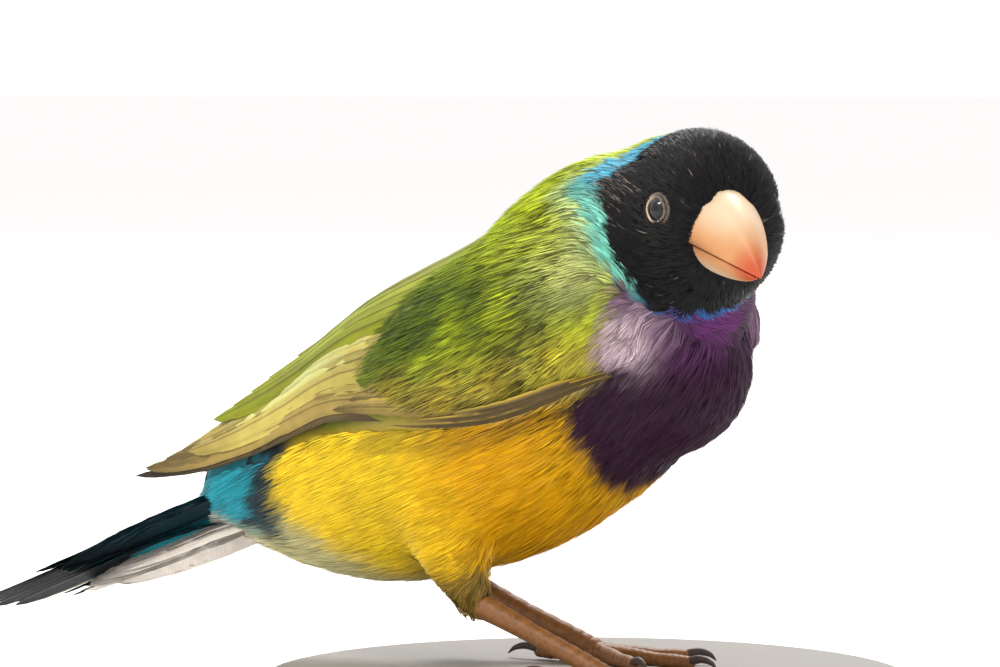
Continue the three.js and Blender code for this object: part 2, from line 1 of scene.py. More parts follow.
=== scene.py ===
"""Looks of a life-size gouldian finch that stands on a small round base.

The bird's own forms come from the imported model. Here its flesh becomes one smooth skin, which
carries a coat of contour feathers made of fine barbs. Wings and tail get tiers of vanes, and bill,
eyes, legs and claws their surfaces. Lengths in this file are millimetres, in the model's frame:
X to the breast, Y to the bird's left, Z up.
"""

import logging
import math
from collections.abc import Callable
from dataclasses import dataclass, field
from enum import Enum

import bpy
import numpy as np
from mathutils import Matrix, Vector
from mathutils.bvhtree import BVHTree

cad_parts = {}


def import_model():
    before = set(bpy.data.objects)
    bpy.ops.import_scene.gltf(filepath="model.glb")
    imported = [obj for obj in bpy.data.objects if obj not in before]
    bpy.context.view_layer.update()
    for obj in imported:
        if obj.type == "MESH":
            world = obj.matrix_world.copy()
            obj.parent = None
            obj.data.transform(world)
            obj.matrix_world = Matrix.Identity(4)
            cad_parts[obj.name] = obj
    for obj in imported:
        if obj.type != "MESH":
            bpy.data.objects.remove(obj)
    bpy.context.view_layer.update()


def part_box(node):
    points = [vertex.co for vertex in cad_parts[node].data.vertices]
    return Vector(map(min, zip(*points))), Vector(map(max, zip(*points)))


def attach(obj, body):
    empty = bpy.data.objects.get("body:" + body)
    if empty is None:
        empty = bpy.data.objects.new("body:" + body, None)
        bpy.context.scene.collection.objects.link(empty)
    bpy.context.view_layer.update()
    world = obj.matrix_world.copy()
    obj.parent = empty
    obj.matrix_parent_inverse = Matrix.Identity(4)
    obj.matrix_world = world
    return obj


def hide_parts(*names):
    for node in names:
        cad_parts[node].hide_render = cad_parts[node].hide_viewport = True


logging.basicConfig(level=logging.INFO, format="%(message)s")
log = logging.getLogger("finch")

MM = 0.001
# Height of the stand's base, and the play between solids that touch
BASE_HEIGHT = 6.0
GAP = 0.3
SIDES = {"right": -1, "left": 1}
SEED = 20

# A function of points, and one of run, slip, side and lift that gives points
Field = Callable[[np.ndarray], np.ndarray]
Surface = Callable[[np.ndarray, np.ndarray, int, np.ndarray], np.ndarray]

# x, height of the back, height of the belly and half width; heights are above the base's top
BODY_STATIONS = np.array([
    (-54, 18.6, 14.6, 2.4), (-46, 21.0, 13.2, 4.6), (-38, 25.0, 10.6, 7.4), (-30, 30.0, 8.4, 10.3),
    (-22, 35.8, 7.7, 12.6), (-12, 41.0, 9.4, 14.3), (-3, 45.6, 12.4, 15.0), (6, 47.0, 18.2, 14.2),
    (12, 45.5, 22.6, 12.4), (18, 42.0, 27.5, 10.4),
], float)
HEAD_STATIONS = np.array([
    (-9.6, 0.6, -1.0, 0.8), (-8.2, 4.8, -4.8, 4.9), (-5.2, 7.6, -7.6, 7.4), (-1.2, 9.0, -9.0, 8.1),
    (2.8, 8.6, -8.8, 7.8), (5.8, 7.0, -7.6, 6.9), (7.9, 4.8, -6.0, 5.4), (9.0, 2.6, -4.4, 3.7),
], float)
# x, y, height above the base's top, and half sizes upwards and sideways
NECK_STATIONS = np.array([
    (-6, 0, 28.5, 13.6, 12.0), (3, -1, 36.2, 14.3, 12.8),
    (9.4, -2.4, 41.6, 12.6, 11.2), (14.4, -3.6, 45.4, 8.2, 7.8),
], float)
HEAD_CENTRE = np.array((14.9, -3.5, 45.5 + BASE_HEIGHT))
HEAD_YAW, HEAD_PITCH = math.radians(-42), math.radians(-11)
WING_BEND_X = 12.6
# Angle from the spine, in degrees, of the folded wing's upper edge
WING_TOP = 15
TAIL_ROOT = (-40.0, 15.6)
TAIL_SLOPE = math.radians(21.3)
TAIL_ROOT_HALF = 3.4
# How much the tail widens for each millimetre, and how much its edges droop
TAIL_SPREAD, TAIL_DROOP = 0.045, 0.055
COAT_DEPTH = 0.75


# Colours and small tools


def srgb(code: str) -> np.ndarray:
    """Turns a hex colour as seen on a screen into linear values.

    Args:
        code: six hex digits, with or without a leading hash.

    Returns:
        Three linear channel values.
    """
    code = code.lstrip("#")
    value = np.array([int(code[i : i + 2], 16) / 255 for i in (0, 2, 4)])
    return np.where(value <= 0.04045, value / 12.92, ((value + 0.055) / 1.055) ** 2.4)


def smooth(low: float, high: float, x: np.ndarray) -> np.ndarray:
    """Smoothly goes from 0 at low to 1 at high; low may be the larger of the two."""
    t = np.clip((np.asarray(x, float) - low) / (high - low), 0, 1)
    return t * t * (3 - 2 * t)


def mix(a: np.ndarray, b: np.ndarray, share: np.ndarray) -> np.ndarray:
    """Blends two arrays of colours by one share per row."""
    share = np.asarray(share, float)[..., None]
    return a * (1 - share) + b * share


def unit(v: np.ndarray) -> np.ndarray:
    """Scales each row to length one."""
    return v / np.maximum(np.linalg.norm(v, axis=-1, keepdims=True), 1e-9)


def ripple(p: np.ndarray, size: float, seed: float = 0.0) -> np.ndarray:
    """A soft noise between about -1 and 1 that varies over size millimetres."""
    q = p / size * 2.2
    total = np.zeros(p.shape[:-1])
    for k, (a, b, c) in enumerate([(1.0, 0.7, 0.4), (-0.6, 1.1, 0.5), (0.5, -0.8, 1.2), (1.3, 0.9, -0.7)]):
        phase = seed * 1.7 + k * 2.1
        total += np.sin(q[..., 0] * a + q[..., 1] * b + q[..., 2] * c + phase)
        total += np.sin(2.1 * (q[..., 0] * c - q[..., 1] * a + q[..., 2] * b) + 1.3 * phase) * 0.6
    return total / 4.2


def along(stations: np.ndarray, column: int, x: np.ndarray) -> np.ndarray:
    """Smooth value of one column of a table of stations at x, as in the solids."""
    xs, values = stations[:, 0], stations[:, column]
    x = np.clip(np.asarray(x, float), xs[0], xs[-1])
    i = np.clip(np.searchsorted(xs, x, side="left") - 1, 0, len(xs) - 2)
    low, high = np.maximum(i - 1, 0), np.minimum(i + 2, len(xs) - 1)
    width = xs[i + 1] - xs[i]
    m0 = (values[i + 1] - values[low]) / (xs[i + 1] - xs[low]) * width
    m1 = (values[high] - values[i]) / (xs[high] - xs[i]) * width
    t = (x - xs[i]) / width
    return (
        (2 * t**3 - 3 * t**2 + 1) * values[i]
        + (t**3 - 2 * t**2 + t) * m0
        + (3 * t**2 - 2 * t**3) * values[i + 1]
        + (t**3 - t**2) * m1
    )


# The bird's own coordinates


def head_axes() -> np.ndarray:
    """Columns are the head's forward, left and up directions in the model's frame."""
    cy, sy = math.cos(HEAD_YAW), math.sin(HEAD_YAW)
    cp, sp = math.cos(-HEAD_PITCH), math.sin(-HEAD_PITCH)
    yaw = np.array(((cy, -sy, 0), (sy, cy, 0), (0, 0, 1)))
    pitch = np.array(((cp, 0, sp), (0, 1, 0), (-sp, 0, cp)))
    return yaw @ pitch


HEAD_AXES = head_axes()


def to_head(p: np.ndarray) -> np.ndarray:
    """Model coordinates to the head's own: x to the bill, y to its left, z to the crown."""
    return (p - HEAD_CENTRE) @ HEAD_AXES


def from_head(q: np.ndarray) -> np.ndarray:
    """The head's own coordinates to the model's."""
    return np.asarray(q, float) @ HEAD_AXES.T + HEAD_CENTRE


def body_point(x: np.ndarray, degrees: np.ndarray, side: int, outset: np.ndarray = 0.0) -> np.ndarray:
    """A point of the body's envelope, at x and an angle from the back (0) down to the belly (180)."""
    x = np.asarray(x, float)
    back, belly, half = (along(BODY_STATIONS, k, x) for k in (1, 2, 3))
    level = (back + belly) / 2
    a = np.radians(degrees)
    rise = np.where(np.cos(a) > 0, back - level, level - belly)
    shape = np.broadcast(x, a, outset).shape
    return np.stack(
        (
            np.broadcast_to(x, shape),
            side * (half + outset) * np.sin(a),
            BASE_HEIGHT + level + (rise + outset) * np.cos(a) + np.zeros(shape),
        ),
        -1,
    )


def wing_low(run: np.ndarray) -> np.ndarray:
    """Angle from the spine, in degrees, of the folded wing's lower edge."""
    return 106 - 27 * smooth(8, 42, run)


def wing_point(run: np.ndarray, slip: np.ndarray, side: int, lift: np.ndarray) -> np.ndarray:
    """A point over the folded wing: run behind its bend, slip 0 at the lower edge to 1 near the spine."""
    low = wing_low(run)
    angle = low + (WING_TOP - low) * np.asarray(slip)
    return body_point(WING_BEND_X - np.asarray(run), angle, side, GAP + lift)


def wing_place(p: np.ndarray) -> tuple[np.ndarray, np.ndarray]:
    """Run and slip over the folded wing of points on either side of the body."""
    run = WING_BEND_X - p[:, 0]
    back, belly, half = (along(BODY_STATIONS, k, p[:, 0]) for k in (1, 2, 3))
    level, rise = (back + belly) / 2, (back - belly) / 2
    angle = np.degrees(np.arctan2(np.abs(p[:, 1]) / half, (p[:, 2] - BASE_HEIGHT - level) / rise))
    low = wing_low(run)
    return run, (low - angle) / (low - WING_TOP)


def tail_point(run: np.ndarray, slip: np.ndarray, side: int, lift: np.ndarray) -> np.ndarray:
    """A point over the tail: run behind its root, slip from 0 at the middle to 1 at the edge."""
    half = TAIL_ROOT_HALF + np.asarray(run) * TAIL_SPREAD
    y = side * np.asarray(slip) * half
    rise = lift - TAIL_DROOP * y * y
    c, s = math.cos(TAIL_SLOPE), math.sin(TAIL_SLOPE)
    x = TAIL_ROOT[0] - run * c - lift * s
    return np.stack((x, y + 0 * run, BASE_HEIGHT + TAIL_ROOT[1] - run * s + rise * c), -1)


# Markings, with painted shade and highlights


class Tone(Enum):
    """The plumage's own colours; LILAC and GLINT serve as painted highlights, and OLIVE and BROWN also as
    painted shade.
    """

    MASK = "0a090b"
    GLINT = "94867a"
    SKY = "4fb0cf"
    AQUA = "79cdb9"
    BLUE = "2b5da6"
    NAPE = "bccb12"
    BACK = "8fa812"
    MOSS = "7f8506"
    OLIVE = "3f560c"
    HAY = "b5a653"
    STRAW = "cdd48a"
    LILAC = "e2c9d2"
    PLUM = "74307a"
    WINE = "34122f"
    GOLD = "e9ae00"
    LEMON = "ecca1c"
    CREAM = "c3bd84"
    TEAL = "1595a5"
    NAVY = "0c2a33"
    PEARL = "cdc6bd"
    TAN = "9c8746"
    OCHRE = "c8a93c"
    BROWN = "5f5032"
    PALE_EDGE = "d9cd92"
    INK = "101417"

    @property
    def linear(self) -> np.ndarray:
        """The colour as linear values."""
        return srgb(self.value)


def behind_mask(q: np.ndarray) -> np.ndarray:
    """How far a point in the head's coordinates lies outside the black mask, negative inside it."""
    drop = np.clip((-1.5 - q[:, 2]) / 7, 0, 1.2)
    edge = -3.6 + 10.5 * drop**1.5
    return np.maximum(edge - q[:, 0], 1.2 * (np.hypot(q[:, 1], q[:, 2]) - 9.7))


def plumage_colour(p: np.ndarray) -> np.ndarray:
    """The marking at each point of the skin, with its painted shade and highlights, shared by the skin and
    the coat.

    Args:
        p: points in the model's frame, one per row.

    Returns:
        Linear colours, one per row.
    """
    x, y, h = p[:, 0], np.abs(p[:, 1]), p[:, 2] - BASE_HEIGHT
    q = to_head(p)
    wave = ripple(p, 7.0, 1.0)
    fine = ripple(p, 2.2, 2.0)
    n = len(p)

    def tone(t: Tone) -> np.ndarray:
        """The tone once for each point."""
        return np.broadcast_to(t.linear, (n, 3))

    # Back and scapulars: bright lime on the nape, and over the shoulders painted shade as dark olive patches
    # where the barbs stand fluffed
    colour = mix(tone(Tone.NAPE), tone(Tone.BACK), smooth(8, -14, x + 2 * wave))
    patch = np.exp(-(((x + 8) / 11) ** 2)) * 0.5
    # Painted shade: dark olive patches over the shoulders
    dark = smooth(-0.35, 0.5, wave + 0.5 * fine + patch) * smooth(7, 11, y) * smooth(43, 38, h)
    colour = mix(colour, tone(Tone.OLIVE), 0.85 * dark)
    # Painted highlight: pale straw on the side of the neck
    neck_highlight = np.exp(-(((x - 7.5) / 4.5) ** 2 + ((h - 41) / 3.6) ** 2)) * smooth(6, 10, y)
    colour = mix(colour, tone(Tone.STRAW), 0.75 * neck_highlight)
    run, slip = wing_place(p)
    arm = smooth(-1, 2, run) * smooth(34, 26, run)
    ochre = np.exp(-(((slip - 0.14) / 0.12) ** 2)) * arm
    colour = mix(colour, mix(tone(Tone.TAN), tone(Tone.LEMON), 0.3 + 0.3 * fine), 0.7 * ochre)
    colour = mix(colour, tone(Tone.PALE_EDGE), 0.8 * np.exp(-(((slip - 0.025) / 0.03) ** 2)) * arm)

    # Belly and flanks below the wing's lower edge, and the rump behind them
    wing_edge = np.interp(x, [-42, -27, -13, -2, 7], [19.4, 23.4, 25.2, 26.6, 29.4])
    below = smooth(1.2, -1.2, h - wing_edge)
    belly = mix(tone(Tone.GOLD), tone(Tone.LEMON), smooth(-2, -16, x + 2 * wave))
    belly = mix(belly, tone(Tone.CREAM), smooth(-18, -27, x + 2.0 * wave + 2.0 * (h - 12.5)))
    bare = smooth(12.5, 9.5, h) * smooth(-17, -14, x)
    bare = np.maximum(bare, smooth(12.5, 9.5, h) * smooth(-30, -25, x) * (p[:, 1] > 3))
    belly = mix(belly, tone(Tone.BROWN), 0.8 * bare)
    colour = mix(colour, belly, below)
    # Painted shadow: a dark line on the belly just under the wing's lower edge
    colour = mix(colour, tone(Tone.BROWN) * 0.3, 0.45 * np.exp(-(((slip + 0.05) / 0.03) ** 2)) * arm)
    rump = smooth(-27.5, -31.5, x + wave) * smooth(12.4, 15.4, h + 0.18 * (x + 38)) * smooth(32, 28, h)
    # Navy spots on the teal, with painted shadow: the rump turns navy towards the wing tips over it, and its
    # rear end darkens towards the bottom
    spots_and_shadow = smooth(-0.3, 0.5, fine + 0.5 * wave + 0.16 * (x + 38) + 0.25 * (14 - h) * (x < -36))
    teal = mix(tone(Tone.TEAL), tone(Tone.NAVY), spots_and_shadow)
    colour = mix(colour, teal, rump)
    vent = smooth(-33, -38, x) * smooth(15.0, 12.6, h + 0.3 * (x + 38))
    colour = mix(colour, tone(Tone.PEARL), vent)

    # Breast: wine, with painted sheen turning it plum towards the top and sides, and a painted lilac
    # highlight beside the wing's bend
    edge = np.interp(h, [18, 28, 31, 38], [6.2, 5.6, 9.6, 10.8]) + 0.5 * wave
    breast = smooth(-0.7, 0.7, x - edge) * smooth(41.5, 38.5, h)
    # Painted sheen: lighter plum towards the top and sides of the breast
    wine = mix(tone(Tone.WINE), tone(Tone.PLUM), 0.75 * smooth(30, 37, h) * smooth(2.5, 8, y + 0.3 * x - 2))
    # Painted highlight: lilac beside the wing's bend, stronger on the right side, which faces the light
    lilac_highlight = np.exp(-(((x - 11.8) / 2.0) ** 2 + ((h - 34.6) / 2.6) ** 2)) * smooth(7.0, 9.5, y)
    lilac_highlight *= np.where(p[:, 1] < 0, 1.1, 0.3)
    wine = mix(wine, tone(Tone.LILAC), np.clip(lilac_highlight, 0, 1))
    colour = mix(colour, wine, breast)

    # Head: a black mask, bordered by a band that is broad at the nape and thin at the throat
    reach = smooth(15.0, 13.5, np.linalg.norm(q * (1, 1, 0.95), axis=1))
    behind = behind_mask(q) + 0.3 * fine
    width = np.interp(q[:, 2], [-9, -6, -2, 3, 7], [0.7, 0.9, 1.5, 1.8, 3.4])
    band = mix(tone(Tone.BLUE), tone(Tone.AQUA), smooth(-8.2, -5.0, q[:, 2]))
    band = mix(band, tone(Tone.SKY), smooth(1.0, 3.5, q[:, 2]))
    in_band = smooth(width + 0.5, width - 0.3, behind) * reach
    halo = smooth(width + 3.2, width + 0.2, behind) * reach
    halo = halo * smooth(-6.5, -3, q[:, 2]) * smooth(5, 1, q[:, 2])
    colour = mix(colour, mix(tone(Tone.AQUA), tone(Tone.STRAW), 0.5 + 0.4 * wave), 0.7 * halo)
    colour = mix(colour, band, in_band)
    colour = mix(colour, tone(Tone.MASK), smooth(0.25, -0.25, behind) * reach)
    return colour


def mask_share(p: np.ndarray) -> np.ndarray:
    """One where the short black plumage of the mask is, zero elsewhere."""
    q = to_head(p)
    reach = smooth(15.0, 13.5, np.linalg.norm(q, axis=1))
    return smooth(0.6, -0.2, behind_mask(q)) * reach


# Materials


# How far the barbs slant, how the noise shakes them, how many cross a unit of the map, and their depth
BARB_SLANT, BARB_SHAKE, BARB_RATE, BARB_DEPTH = -0.16, 0.02, 560.0, 0.28


def math_node(tree: bpy.types.NodeTree, operation: str, *inputs: object) -> bpy.types.NodeSocket:
    """Adds a math node to a material's tree.

    Args:
        tree: the tree.
        operation: what the node does.
        inputs: a number or another node's output for each of its inputs.

    Returns:
        The node's output.
    """
    node = tree.nodes.new("ShaderNodeMath")
    node.operation = operation
    for socket, value in zip(node.inputs, inputs):
        if isinstance(value, bpy.types.NodeSocket):
            tree.links.new(value, socket)
        else:
            socket.default_value = value
    return node.outputs[0]


@dataclass
class Finish:
    """A procedural finish.

    Attributes:
        name: the material's name, after the real one.
        colour: hex colour, used where the mesh carries no tint of its own.
        tinted: whether the colour comes from the mesh's own "Tint" attribute.
        roughness: how matt it is.
        grain: size in millimetres of the noise that varies colour and relief.
        variation: how much lighter and darker the noise makes the colour.
        relief: strength of the bump.
        settings: other values of the shader, by socket name.
        cells: whether the relief is made of scales instead of noise.
        barbs: whether the fine lines of a feather's barbs cross it.
    """

    name: str
    colour: str = "808080"
    tinted: bool = False
    roughness: float = 0.6
    grain: float = 1.0
    variation: float = 0.15
    relief: float = 0.15
    settings: dict[str, float] = field(default_factory=dict)
    cells: bool = False
    barbs: bool = False

    def build(self) -> bpy.types.Material:
        """Makes the material's nodes and returns it."""
        material = bpy.data.materials.new(self.name)
        material.use_nodes = True
        nodes, links = material.node_tree.nodes, material.node_tree.links
        shader = nodes["Principled BSDF"]
        shader.inputs["Roughness"].default_value = self.roughness
        for socket, value in self.settings.items():
            shader.inputs[socket].default_value = value
        place = nodes.new("ShaderNodeTexCoord")
        texture = nodes.new("ShaderNodeTexVoronoi" if self.cells else "ShaderNodeTexNoise")
        texture.inputs["Scale"].default_value = 1 / (self.grain * MM)
        if not self.cells:
            texture.inputs["Detail"].default_value = 5
        height = texture.outputs[0]
        links.new(place.outputs["Object"], texture.inputs["Vector"])
        if self.barbs:
            height = self.barb_lines(material.node_tree, height)
        span = nodes.new("ShaderNodeMapRange")
        span.inputs["To Min"].default_value = 1 - self.variation
        span.inputs["To Max"].default_value = 1 + self.variation
        links.new(height, span.inputs["Value"])
        if self.tinted:
            tint = nodes.new("ShaderNodeAttribute")
            tint.attribute_name = "Tint"
            colour = tint.outputs["Color"]
        else:
            flat = nodes.new("ShaderNodeRGB")
            flat.outputs[0].default_value = (*srgb(self.colour), 1)
            colour = flat.outputs[0]
        scale = nodes.new("ShaderNodeVectorMath")
        scale.operation = "SCALE"
        links.new(colour, scale.inputs[0])
        links.new(span.outputs["Result"], scale.inputs["Scale"])
        links.new(scale.outputs["Vector"], shader.inputs["Base Color"])
        bump = nodes.new("ShaderNodeBump")
        bump.inputs["Strength"].default_value = self.relief
        bump.inputs["Distance"].default_value = 0.1 * MM
        links.new(height, bump.inputs["Height"])
        links.new(bump.outputs["Normal"], shader.inputs["Normal"])
        return material

    @staticmethod
    def barb_lines(tree: bpy.types.NodeTree, noise: bpy.types.NodeSocket) -> bpy.types.NodeSocket:
        """Fine lines that slant from a feather's shaft to its edge, on the map named Vane.

        Args:
            tree: the material's node tree.
            noise: height to which the lines are added.
        """
        uv = tree.nodes.new("ShaderNodeUVMap")
        uv.uv_map = "Vane"
        split = tree.nodes.new("ShaderNodeSeparateXYZ")
        tree.links.new(uv.outputs["UV"], split.inputs["Vector"])
        fold = math_node(tree, "ABSOLUTE", math_node(tree, "SUBTRACT", split.outputs["X"], 0.5))
        slant = math_node(tree, "MULTIPLY_ADD", fold, BARB_SLANT, split.outputs["Y"])
        shake = math_node(tree, "MULTIPLY_ADD", noise, BARB_SHAKE, slant)
        sine = math_node(tree, "SINE", math_node(tree, "MULTIPLY", shake, BARB_RATE))
        return math_node(tree, "MULTIPLY_ADD", sine, BARB_DEPTH, noise)


FINISHES = {
    # Down and covered skin under the coat
    "skin": Finish("feathered_skin", tinted=True, roughness=0.9, grain=0.6, variation=0.25, relief=0.4),
    # Keratin barbs of the contour feathers
    "coat": Finish("plumage_barbs", tinted=True, roughness=0.5, grain=2.5, variation=0.18, relief=0.05,
                   settings={"Specular IOR Level": 0.22}),
    # Zipped vanes of the flight and tail feathers
    "vane": Finish("plumage_vanes", tinted=True, roughness=0.5, grain=1.6, variation=0.22, relief=0.5,
                   settings={"Specular IOR Level": 0.18}, barbs=True),
    # Smooth horn of the bill
    "bill": Finish("bill_horn", tinted=True, roughness=0.42, grain=3.0, variation=0.08, relief=0.06,
                   settings={"Subsurface Weight": 0.15, "Subsurface Scale": 0.001,
                             "Specular IOR Level": 0.35}),
    # Wet surface of the eye
    "eye": Finish("eye_wet", tinted=True, roughness=0.12, grain=0.4, variation=0.1, relief=0.0,
                  settings={"Coat Weight": 0.3, "Coat Roughness": 0.03, "Specular IOR Level": 0.3}),
    # Bare, finely scaled skin round the eye
    "lid": Finish("lid_skin", tinted=True, roughness=0.5, grain=0.32, variation=0.3, relief=0.5, cells=True),
    # Scaled skin of the legs and toes
    "leg": Finish("leg_scales", tinted=True, roughness=0.5, grain=0.5, variation=0.22, relief=0.35,
                  settings={"Specular IOR Level": 0.45}, cells=True),
    # Turned wood under matt grey paint
    "stand": Finish("stand_paint", "8f8b84", roughness=0.55, grain=4.0, variation=0.06, relief=0.08),
    # Plain studio floor
    "floor": Finish("studio_floor", "fbfafa", roughness=0.9, grain=60.0, variation=0.01, relief=0.0,
                    settings={"Specular IOR Level": 0.1}),
}
MATERIALS: dict[str, bpy.types.Material] = {}


def material(name: str) -> bpy.types.Material:
    """The built material of a named finish."""
    if name not in MATERIALS:
        MATERIALS[name] = FINISHES[name].build()
    return MATERIALS[name]


# Meshes from arrays


@dataclass
class Shell:
    """A mesh before it becomes an object.

    Attributes:
        points: its vertices.
        faces: their numbers, face by face.
        tint: one linear colour per vertex.
        bake: place of each vertex on the map named OFBake, if it has one.
        vane: place of each vertex on the map named Vane, if it has one.
    """

    points: np.ndarray
    faces: np.ndarray
    tint: np.ndarray
    bake: np.ndarray | None = None
    vane: np.ndarray | None = None

    @staticmethod
    def join(shells: list["Shell"]) -> "Shell":
        """One shell of several."""
        starts = np.cumsum([0] + [len(s.points) for s in shells[:-1]])

        def several(name: str) -> np.ndarray | None:
            """One map of all the shells' maps, or none."""
            values = [getattr(s, name) for s in shells]
            return None if values[0] is None else np.concatenate(values)

        return Shell(
            np.concatenate([s.points for s in shells]),
            np.concatenate([s.faces + start for s, start in zip(shells, starts)]),
            np.concatenate([s.tint for s in shells]),
            several("bake"),
            several("vane"),
        )

    def build(self, name: str, finish: str) -> bpy.types.Object:
        """Makes the object, in metres, with its tint, its maps and its material.

        Args:
            name: the object's name.
            finish: which of the finishes it has.
        """
        mesh = bpy.data.meshes.new(name)
        mesh.vertices.add(len(self.points))
        mesh.vertices.foreach_set("co", (self.points * MM).astype(np.float32).ravel())
        corners = self.faces.shape[1]
        mesh.loops.add(self.faces.size)
        mesh.loops.foreach_set("vertex_index", self.faces.astype(np.int32).ravel())
        mesh.polygons.add(len(self.faces))
        mesh.polygons.foreach_set("loop_start", np.arange(0, self.faces.size, corners, dtype=np.int32))
        mesh.polygons.foreach_set("use_smooth", np.full(len(self.faces), True))
        mesh.update(calc_edges=True)
        paint_points(mesh, self.tint)
        for title, values in (("OFBake", self.bake), ("Vane", self.vane)):
            if values is not None:
                layer = mesh.uv_layers.new(name=title)
                layer.data.foreach_set("uv", values[self.faces.ravel()].astype(np.float32).ravel())
        mesh.materials.append(material(finish))
        piece = bpy.data.objects.new(name, mesh)
        bpy.context.collection.objects.link(piece)
        log.info("%s: %d faces", name, len(self.faces))
        return piece


def paint_points(mesh: bpy.types.Mesh, colours: np.ndarray) -> None:
    """Stores one linear colour per vertex as the attribute named Tint."""
    layer = mesh.color_attributes.new("Tint", "FLOAT_COLOR", "POINT")
    rgba = np.concatenate((colours, np.ones((len(colours), 1))), axis=1)
    layer.data.foreach_set("color", rgba.astype(np.float32).ravel())


def loft_faces(rings: int, around: int, closed: bool = False) -> np.ndarray:
    """Triangles over rings of points.

    Args:
        rings: how many rings there are.
        around: points in a ring.
        closed: whether the last ring is joined to the first.
    """
    faces = []
    for i in range(rings if closed else rings - 1):
        here, there = i * around, (i + 1) % rings * around
        for j in range(around):
            k = (j + 1) % around
            faces += [(here + j, here + k, there + k), (here + j, there + k, there + j)]
    return np.array(faces)


def outwards(points: np.ndarray, faces: np.ndarray) -> np.ndarray:
    """The faces of a closed shell, turned round if they face inwards."""
    a, b, c = (points[faces[:, k]] for k in range(3))
    inside_out = np.einsum("ij,ij->i", a, np.cross(b, c)).sum() < 0
    return faces[:, ::-1] if inside_out else faces


def tube(rings: np.ndarray, tint: np.ndarray) -> Shell:
    """A closed tube over rings of points, shaped (rings, around, 3), with its faces outwards.

    Args:
        rings: the points.
        tint: one colour per ring.
    """
    count, around = rings.shape[:2]
    points = np.concatenate((rings.reshape(-1, 3), rings[:1].mean(1), rings[-1:].mean(1)))
    start, end, last = count * around, count * around + 1, (count - 1) * around
    caps = []
    for j in range(around):
        k = (j + 1) % around
        caps += [(start, k, j), (end, last + j, last + k)]
    faces = np.concatenate((loft_faces(count, around), caps))
    tints = np.concatenate((np.repeat(tint, around, 0), tint[:1], tint[-1:]))
    return Shell(points, outwards(points, faces), tints)


# Skin


FLESH = ("torso", "neck", "head", "thigh_right", "thigh_left")
COPIED_FLESH = ("torso", "thigh_right", "thigh_left")
# How far the forms swell so that they fuse, and the size of the remesh's voxels
BRIDGE, VOXEL = 0.3, 0.45
SKIN_SHADE = 0.5
BREAST_CENTRE, BREAST_RADII = (8.0, 0.0, 31.0 + BASE_HEIGHT), (9.9, 9.6, 9.5)
NAPE_CENTRE, NAPE_RADII = (-6.0, 0.0, -1.7), (8.8, 8.9, 9.0)


def shoulder(side: int) -> Shell:
    """The fleshy arm and the scapulars' bed, over the body's side."""
    rings = []
    for run in np.linspace(-0.6, 34, 24):
        front = math.sqrt(min(1.0, (run + 0.6) / 4.4 + 0.04))
        top = 0.3 + 0.62 * min(1.0, (run + 0.6) / 11 + 0.25)
        k = np.linspace(0, 1, 13)
        slip = 0.03 + (top - 0.03) * k
        swell = np.sqrt(np.clip(1 - (2 * k - 1) ** 4, 0.04, 1))
        depth = float(np.interp(run, [0, 16, 26, 34], [2.3, 2.2, 1.7, 0.6])) * front
        outer = wing_point(run, slip, side, depth * swell)
        under = wing_point(run, slip[::-1], side, -2.5 + 0 * k)
        rings.append(np.concatenate((outer, under)))
    rings = np.array(rings)
    return tube(rings, np.zeros((len(rings), 3)))


def tail_root() -> Shell:
    """The rump's narrow end, on which the tail coverts grow."""
    a = np.linspace(0, 2 * np.pi, 20, endpoint=False)
    rings = []
    for t in np.linspace(-0.98, 0.98, 12):
        r = math.sqrt(1 - t * t)
        run = 3.0 + 10.0 * t
        y, z = 4.0 * r * np.cos(a), 2.5 * r * np.sin(a)
        c, s = math.cos(TAIL_SLOPE), math.sin(TAIL_SLOPE)
        x = TAIL_ROOT[0] - run * c - z * s
        rings.append(np.stack((x, y, BASE_HEIGHT + TAIL_ROOT[1] - run * s + z * c), -1))
    return tube(np.array(rings), np.zeros((12, 3)))


def skull() -> Shell:
    """The head without the cuts and rims that its solid has round the eyes and the bill."""
    a = np.linspace(0, 2 * np.pi, 40, endpoint=False)
    rings = []
    for x in np.linspace(HEAD_STATIONS[0, 0], HEAD_STATIONS[-1, 0], 30):
        top, bottom, half = (along(HEAD_STATIONS, k, x) for k in (1, 2, 3))
        z = (top + bottom) / 2 + (top - bottom) / 2 * np.cos(a)
        rings.append(from_head(np.stack((np.full_like(a, x), half * np.sin(a), z), -1)))
    return tube(np.array(rings), np.zeros((30, 3)))


def neck() -> Shell:
    """The whole neck, out to where the folded wings press on it."""
    a = np.linspace(0, 2 * np.pi, 40, endpoint=False)
    t = np.linspace(0, len(NECK_STATIONS) - 1, 24)
    table = np.column_stack((np.arange(len(NECK_STATIONS), dtype=float), NECK_STATIONS))
    centre = np.stack([along(table, k, t) for k in (1, 2, 3)], -1)
    ahead = unit(np.gradient(centre, axis=0))
    across = unit(np.cross((0.0, 0.0, 1.0), ahead))
    up = np.cross(ahead, across)
    high, wide = (along(table, k, t)[:, None, None] for k in (4, 5))
    sideways = across[:, None] * wide * np.cos(a)[:, None]
    rings = centre[:, None] + sideways + up[:, None] * high * np.sin(a)[:, None]
    return tube(rings + (0, 0, BASE_HEIGHT), np.zeros((24, 3)))


